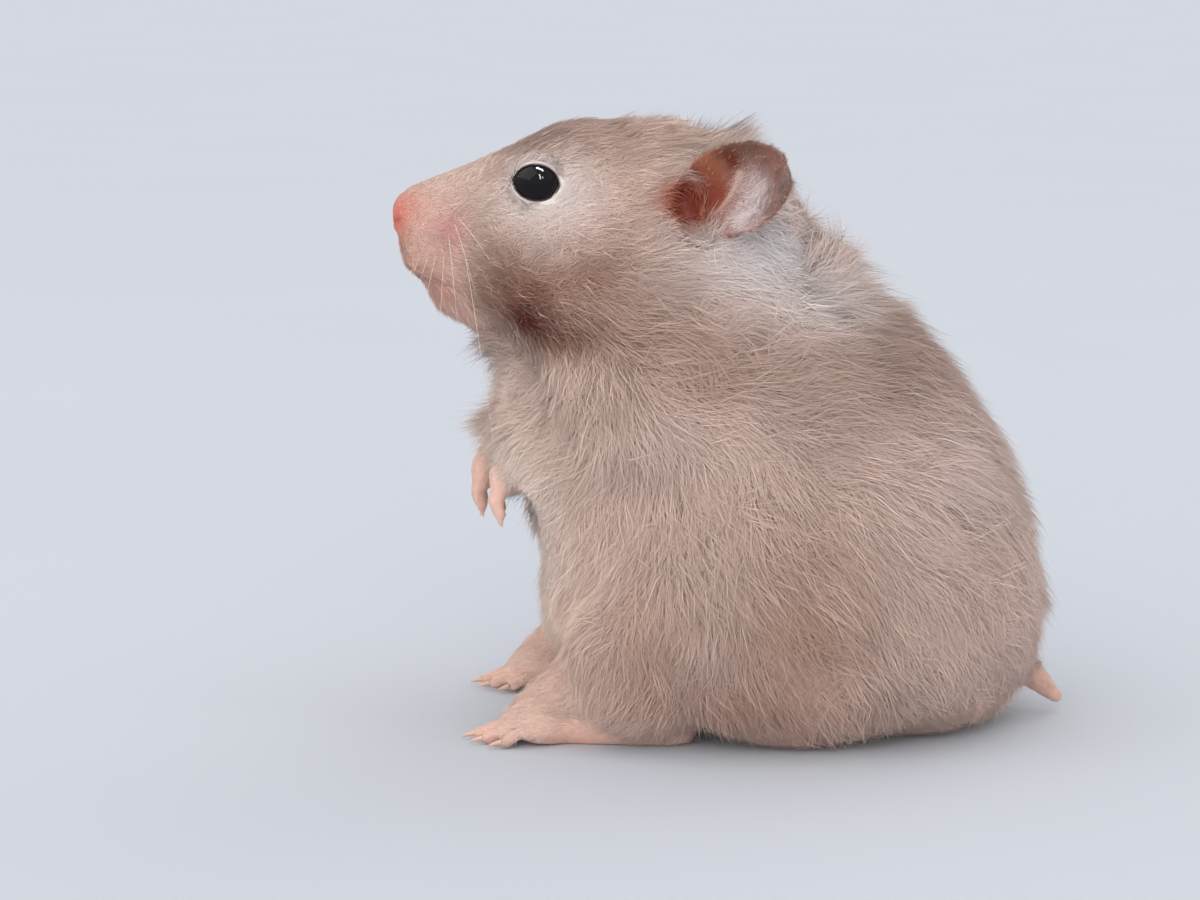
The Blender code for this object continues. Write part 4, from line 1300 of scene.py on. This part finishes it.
def ear_lie(roots, stand):
    """Which way the hairs of the ears lie, fanning out from the canal, and their length and steepness."""
    lie = np.empty_like(roots)
    hollow = np.zeros(len(roots))
    for side, mirror in SIDES.items():
        here = roots[:, 1] * mirror > 0
        _, along, facing, width, height = ear_axes(side)
        place = ear_places(roots[here], side)
        fan = place - EAR_FAN
        lie[here] = fan[:, :1] * along * width + fan[:, 1:] * (0, 0, height)
        away = (place - EAR_HOLLOW) / EAR_HOLLOW_SPREAD
        hollow[here] = np.exp(-np.sum(away**2, axis=1)) * (stand[here] @ facing > 0)
    down, pale = np.array(EAR_DOWN), np.array(EAR_HOLLOW_HAIR)
    length, lift = (down + (pale - down) * hollow[:, None]).T
    return unit(lie), length * MM, np.radians(lift)


def keep_in_box(spines):
    """Shortens each tuft that would pass out of the solids' box by more than its spare room."""
    low, high = np.array(CAD_LOW), np.array(CAD_HIGH)
    room = (high - low) * SPARE_ROOM
    roots = spines[:, :1]
    run = spines[:, 1:] - roots
    limit = np.where(run > 0, high + room, low - room) - roots
    share = np.where(np.abs(run) > 1e-9, limit / np.where(np.abs(run) > 1e-9, run, 1), 1)
    spines[:, 1:] = roots + run * share.min(axis=(1, 2)).clip(0, 1)[:, None, None]
    spines[..., 2] = np.maximum(spines[..., 2], FLOOR_GAP)


def keep_off_eyes(spines):
    """Shortens each tuft that would cross the edge of the lids."""
    for side in SIDES:
        start = rim_distance(spines[:, 0], side)
        end = rim_distance(spines[:, 2], side)
        share = np.where(end < LID_MARGIN, (start - LID_MARGIN) / (start - end).clip(1e-6), 1)
        roots = spines[:, :1]
        spines[:, 1:] = roots + (spines[:, 1:] - roots) * share.clip(SHORTEST_LEFT, 1)[:, None, None]


def coat_piece(region, skin_arrays, rng):
    """One region's tufts as a single mesh."""
    points, normals, triangles, owners, regions = skin_arrays
    here = regions == region
    uv = unwrap_region("patch_" + region, points, triangles[here])
    arrays = (points, normals, triangles[here], owners[here])
    straight, curved = (grow(region, kind, arrays, uv, rng) for kind in KINDS)
    corners, shading, tints, faces, corner_uv = (np.concatenate(pair) for pair in zip(straight, curved))
    faces[len(straight[3]) :] += len(straight[0])
    piece = mesh_from_arrays("coat_" + region, corners, faces, corner_uv)
    set_tint(piece.data, tints)
    piece.data.normals_split_custom_set_from_vertices(shading.tolist())
    return piece


class HAMSTER_OT_coat(bpy.types.Operator):
    """Grows the coat: solid tufts over the skin that follow the lie of the hair"""

    bl_idname = "hamster.coat"
    bl_label = "Coat"

    def execute(self, context):
        points, normals, triangles, owners = skin_triangles(bpy.data.objects["skin"])
        regions = coat_region(owners, points[triangles].mean(axis=1))
        material = agouti_fur()
        for index, region in enumerate(COAT_REGIONS):
            rng = np.random.default_rng(context.scene.hamster_coat.seed + index)
            piece = coat_piece(region, (points, normals, triangles, owners, regions), rng)
            keep(piece, "coat", material)
        return {"FINISHED"}


# ---- Claws and whiskers, in millimetres ----

PALMS = {"left": (-29.44, 7.2, 32.6), "right": (-32.24, 6.8, 31.4)}
FINGERS = (-1.5, -0.5, 0.5, 1.5)  # their places across the palm
FINGER_SPREAD, FINGER_SPLAY, FINGER_RADIUS = 1.38, 0.10, 0.8
FINGER_JOINTS = (2.1, 1.8)
FINGER_LEANS = (-0.35, 0.30, 0.10)  # how far those two and the claw point backward
FOOT_BALL = (-24.24, 15.4, 1.9)
TOES = (-2, -1, 0, 1, 2)
TOE_LENGTHS = (4.2, 6.2, 6.8, 6.2, 4.4)
TOE_SPREAD, TOE_SPLAY, TOE_RADIUS = 1.75, 0.12, 0.95
CLAWS = {  # length, half width at the root, and curl
    "forepaw": (0.7, 0.24, (0.25, 0, -0.1)),
    "hind_foot": (1.8, 0.38, (0, 0, -0.12)),
}
CLAW_RINGS = (1.0, 0.96, 0.86, 0.72, 0.54, 0.32, 0.12)
OFF_THE_FLOOR = 0.02  # how far claws stay above it
TUBE_SIDE = (0.1, 0.9, 0.4)  # a way that no claw or whisker takes
WHISKERS = (  # root, way and length, on the right half
    ((-40.3, 4.6, 60.6), (-0.45, 0.35, -0.80), 3.5),
    ((-39.4, 5.4, 62.4), (-0.36, 0.42, -0.80), 6),
    ((-38.4, 6.2, 62.8), (-0.30, 0.36, -0.86), 6.8),
    ((-37.7, 6.6, 62.2), (-0.22, 0.40, -0.86), 8),
    ((-36.9, 7.1, 61.6), (-0.06, 0.36, -0.92), 9.5),
    ((-36.3, 7.4, 63.2), (0.12, 0.50, -0.84), 12),
    ((-35.4, 7.7, 64.6), (0.30, 0.55, -0.75), 9),
    ((-34.3, 8.2, 61.5), (0.17, 0.22, -0.95), 25),
    ((-34.8, 7.8, 65.4), (0.55, 0.65, -0.50), 8),
    ((-43, 2.6, 65.8), (0.90, 0.62, 0.06), 5),
    ((-27.2, 11.4, 61.2), (0.62, 0.22, -0.70), 6.5),
)
WHISKER_RADIUS, WHISKER_TAPER = 0.036, 0.8
WHISKER_ROOT = 0.5  # how deep it starts
WHISKER_STEPS = 12
WHISKER_DROOP = 0.16  # of its length


def tube(path, radii, sides):
    """Corners and triangles of a closed round tube along a path, in metres."""
    path = np.array(path, float) * MM
    ahead = unit(np.gradient(path, axis=0))
    sideways = across(np.tile(TUBE_SIDE, (len(path), 1)), ahead)
    upward = np.cross(ahead, sideways)
    turn = np.arange(sides) * 2 * math.pi / sides
    ring = np.cos(turn)[:, None, None] * sideways + np.sin(turn)[:, None, None] * upward
    rings = path + ring * (np.array(radii) * MM)[:, None]
    corners = rings.transpose(1, 0, 2).reshape(-1, 3)
    first, last = len(corners), len(corners) + 1
    end = sides * (len(path) - 1)
    faces = bands(sides, len(path))
    faces += [(first, (j + 1) % sides, j) for j in range(sides)]
    faces += [(last, end + j, end + (j + 1) % sides) for j in range(sides)]
    return np.concatenate((corners, path[:1], path[-1:])), np.array(faces)


def joined_tubes(name, tubes):
    """One object from many tubes."""
    corners = np.concatenate([part[0] for part in tubes])
    starts = np.cumsum([0] + [len(part[0]) for part in tubes[:-1]])
    faces = np.concatenate([part[1] + start for part, start in zip(tubes, starts)])
    return mesh_from_arrays(name, corners, faces)


def finger_ends(palm, mirror):
    """Where each finger ends and which way its claw points."""
    for place in FINGERS:
        splay = place * FINGER_SPLAY * mirror
        knuckle = palm + np.array((-0.7 + 0.25 * abs(place), place * FINGER_SPREAD * mirror, -0.9))
        first, second, claw = (unit(np.array((lean, splay, -1.0))) for lean in FINGER_LEANS)
        tip = knuckle + first * FINGER_JOINTS[0] + second * FINGER_JOINTS[1]
        yield tip + claw * FINGER_RADIUS * 0.5, claw


def toe_ends(ball, mirror):
    """Where each toe ends and which way its claw points."""
    for place, length in zip(TOES, TOE_LENGTHS):
        root = ball + np.array((-1.5 + 0.5 * abs(place), place * TOE_SPREAD * mirror, -0.3))
        heading = unit(np.array((-1.0, place * TOE_SPLAY * mirror, 0.0)))
        tip = root + heading * length
        tip[2] = TOE_RADIUS * 0.95
        yield tip + heading * TOE_RADIUS * 0.6, unit(heading + (0, 0, -0.12))


def claw_tube(base, way, kind):
    """A claw that curves down from its root to a blunt point."""
    length, radius, curl = CLAWS[kind]
    steps = np.linspace(0, 1, len(CLAW_RINGS))[:, None]
    path = base + way * steps * length + np.array(curl) * length * steps**2
    radii = radius * np.array(CLAW_RINGS)
    path[:, 2] = np.maximum(path[:, 2], radii + OFF_THE_FLOOR)
    return tube(path, radii, sides=8)


class HAMSTER_OT_claws(bpy.types.Operator):
    """Sets a thin curved claw in the end of each finger and toe"""

    bl_idname = "hamster.claws"
    bl_label = "Claws"

    def execute(self, context):
        material = horn()
        for side, mirror in SIDES.items():
            ends = {
                "forepaw": finger_ends(np.array(PALMS[side]) * (1, mirror, 1), mirror),
                "hind_foot": toe_ends(np.array(FOOT_BALL) * (1, mirror, 1), mirror),
            }
            for kind, places in ends.items():
                tubes = [claw_tube(base, way, kind) for base, way in places]
                keep(joined_tubes(f"claws_{kind}_{side}", tubes), "bare_skin", material)
        return {"FINISHED"}


class HAMSTER_OT_whiskers(bpy.types.Operator):
    """Roots the long fine whiskers in the pads beside the nose and on the cheek"""

    bl_idname = "hamster.whiskers"
    bl_label = "Whiskers"

    def execute(self, context):
        material = whisker_hair()
        steps = np.linspace(0, 1, WHISKER_STEPS)[:, None]
        radii = WHISKER_RADIUS * (1 - WHISKER_TAPER * steps[:, 0] ** 1.5)
        for side, mirror in SIDES.items():
            tubes = []
            for root, way, length in WHISKERS:
                onward = unit(np.array(way)) * (1, mirror, 1)
                start = np.array(root) * (1, mirror, 1) - onward * WHISKER_ROOT
                path = start + onward * steps * length + np.array((0, 0, -WHISKER_DROOP)) * length * steps**2
                tubes.append(tube(path, radii, sides=5))
            keep(joined_tubes("whiskers_" + side, tubes), "coat", material)
        return {"FINISHED"}


# ---- Stage ----

CAMERA_LENS = 100.0  # mm
CAMERA_ELEVATION = math.radians(9.0)
CAMERA_TARGET = (-17.19, 0.0, 34.88)  # mm, the middle of the view
CAMERA_DISTANCE = 433.3  # mm
FLOOR_SIZE = 40.0  # m
LIT_POINT = (-0.025, -0.008, 0.070)  # m
SKY_COLOUR, SKY_STRENGTH = "#f4f2f1", 0.95
SUNS = (  # where it stands, its strength, its spread in degrees, and its colour
    ("daylight", (-0.22, -1.0, 0.34), 1.2, 60, "#fff3e8"),
    ("from_ahead", (-1.0, -0.35, 0.05), 0.8, 60, "#fff5ee"),
    ("from_behind", (0.6, 0.8, 0.7), 0.35, 40, "#fff8f0"),
)
WINDOW_DISTANCE = 0.6  # m
WINDOWS = (  # direction from the eye, width and height in metres, and power in watts
    ("skylight", (0.27, -0.07, 0.96), 0.10, 0.32, 9.0),
    ("window", (0.32, -0.73, 0.60), 0.06, 0.26, 2.5),
    ("lamp", (0.52, -0.66, 0.52), 0.07, 0.10, 0.5),
    ("bright_wall", (-0.57, -0.23, 0.78), 1.0, 0.65, 3.4),
)


def add_light(name, light, place, colour):
    """Puts a light at a place, turned to the animal."""
    light.color = linear(colour)
    holder = bpy.data.objects.new(name, light)
    holder.location = place
    holder.rotation_euler = (Vector(LIT_POINT) - Vector(place)).to_track_quat("-Z", "Y").to_euler()
    bpy.context.scene.collection.objects.link(holder)
    return holder


def add_sun(name, place, strength, spread, colour):
    """Even light from one side of the room, as wide in the sky as its spread in degrees."""
    light = bpy.data.lights.new(name, "SUN")
    light.energy = strength
    light.angle = math.radians(spread)
    add_light(name, light, place, colour).visible_glossy = False


def add_window(name, direction, width, height, power):
    """A light that shows as a bright shape in the eye and adds nothing to matt surfaces."""
    light = bpy.data.lights.new(name, "AREA")
    light.shape = "RECTANGLE"
    light.size = width
    light.size_y = height
    light.energy = power
    holder = add_light(name, light, Vector(LIT_POINT) + Vector(direction) * WINDOW_DISTANCE, "#ffffff")
    holder.visible_diffuse = False
    holder.visible_camera = False


class HAMSTER_OT_stage(bpy.types.Operator):
    """Lays a pale floor and sets soft lights and the camera"""

    bl_idname = "hamster.stage"
    bl_label = "Stage"

    def execute(self, context):
        scene = context.scene
        bpy.ops.object.select_all(action="DESELECT")
        bpy.ops.mesh.primitive_plane_add(size=FLOOR_SIZE, location=(0, 0, 0))
        floor = context.view_layer.objects.active
        floor.name = "floor"
        floor.data.materials.append(matt_paper())

        world = bpy.data.worlds.new("pale_room")
        world.use_nodes = True
        sky = world.node_tree.nodes["Background"]
        sky.inputs["Color"].default_value = (*linear(SKY_COLOUR), 1)
        sky.inputs["Strength"].default_value = SKY_STRENGTH
        scene.world = world
        for sun in SUNS:
            add_sun(*sun)
        for window in WINDOWS:
            add_window(*window)

        lens = bpy.data.cameras.new("camera")
        lens.lens = CAMERA_LENS
        lens.sensor_width = 36.0
        lens.clip_start = 0.01
        lens.clip_end = 50.0
        camera = bpy.data.objects.new("camera", lens)
        back = Vector((0, -math.cos(CAMERA_ELEVATION), math.sin(CAMERA_ELEVATION)))
        camera.location = (Vector(CAMERA_TARGET) + back * CAMERA_DISTANCE) * MM
        camera.rotation_euler = (-back).to_track_quat("-Z", "Y").to_euler()
        scene.collection.objects.link(camera)
        scene.camera = camera
        scene.view_settings.view_transform = "Standard"
        return {"FINISHED"}


OPERATORS = (
    HAMSTER_OT_skin, HAMSTER_OT_eyes, HAMSTER_OT_coat,
    HAMSTER_OT_claws, HAMSTER_OT_whiskers, HAMSTER_OT_stage,
)


class HAMSTER_PT_panel(bpy.types.Panel):
    bl_idname = "HAMSTER_PT_panel"
    bl_label = "Syrian hamster"
    bl_space_type = "VIEW_3D"
    bl_region_type = "UI"
    bl_category = "Hamster"

    def draw(self, context):
        for operator in OPERATORS:
            self.layout.operator(operator.bl_idname)
        for name, group in SETTING_GROUPS.items():
            box = self.layout.box()
            for setting in group.__annotations__:
                box.prop(getattr(context.scene, name), setting)


def register():
    for name, group in SETTING_GROUPS.items():
        bpy.utils.register_class(group)
        setattr(bpy.types.Scene, name, bpy.props.PointerProperty(type=group))
    for operator in OPERATORS:
        bpy.utils.register_class(operator)
    bpy.utils.register_class(HAMSTER_PT_panel)


def unregister():
    bpy.utils.unregister_class(HAMSTER_PT_panel)
    for operator in reversed(OPERATORS):
        bpy.utils.unregister_class(operator)
    for name, group in reversed(SETTING_GROUPS.items()):
        delattr(bpy.types.Scene, name)
        bpy.utils.unregister_class(group)


def main():
    register()
    bpy.ops.hamster.skin()
    bpy.ops.hamster.eyes()
    bpy.ops.hamster.coat()
    bpy.ops.hamster.claws()
    bpy.ops.hamster.whiskers()
    bpy.ops.hamster.stage()


if __name__ == "__main__":
    main()
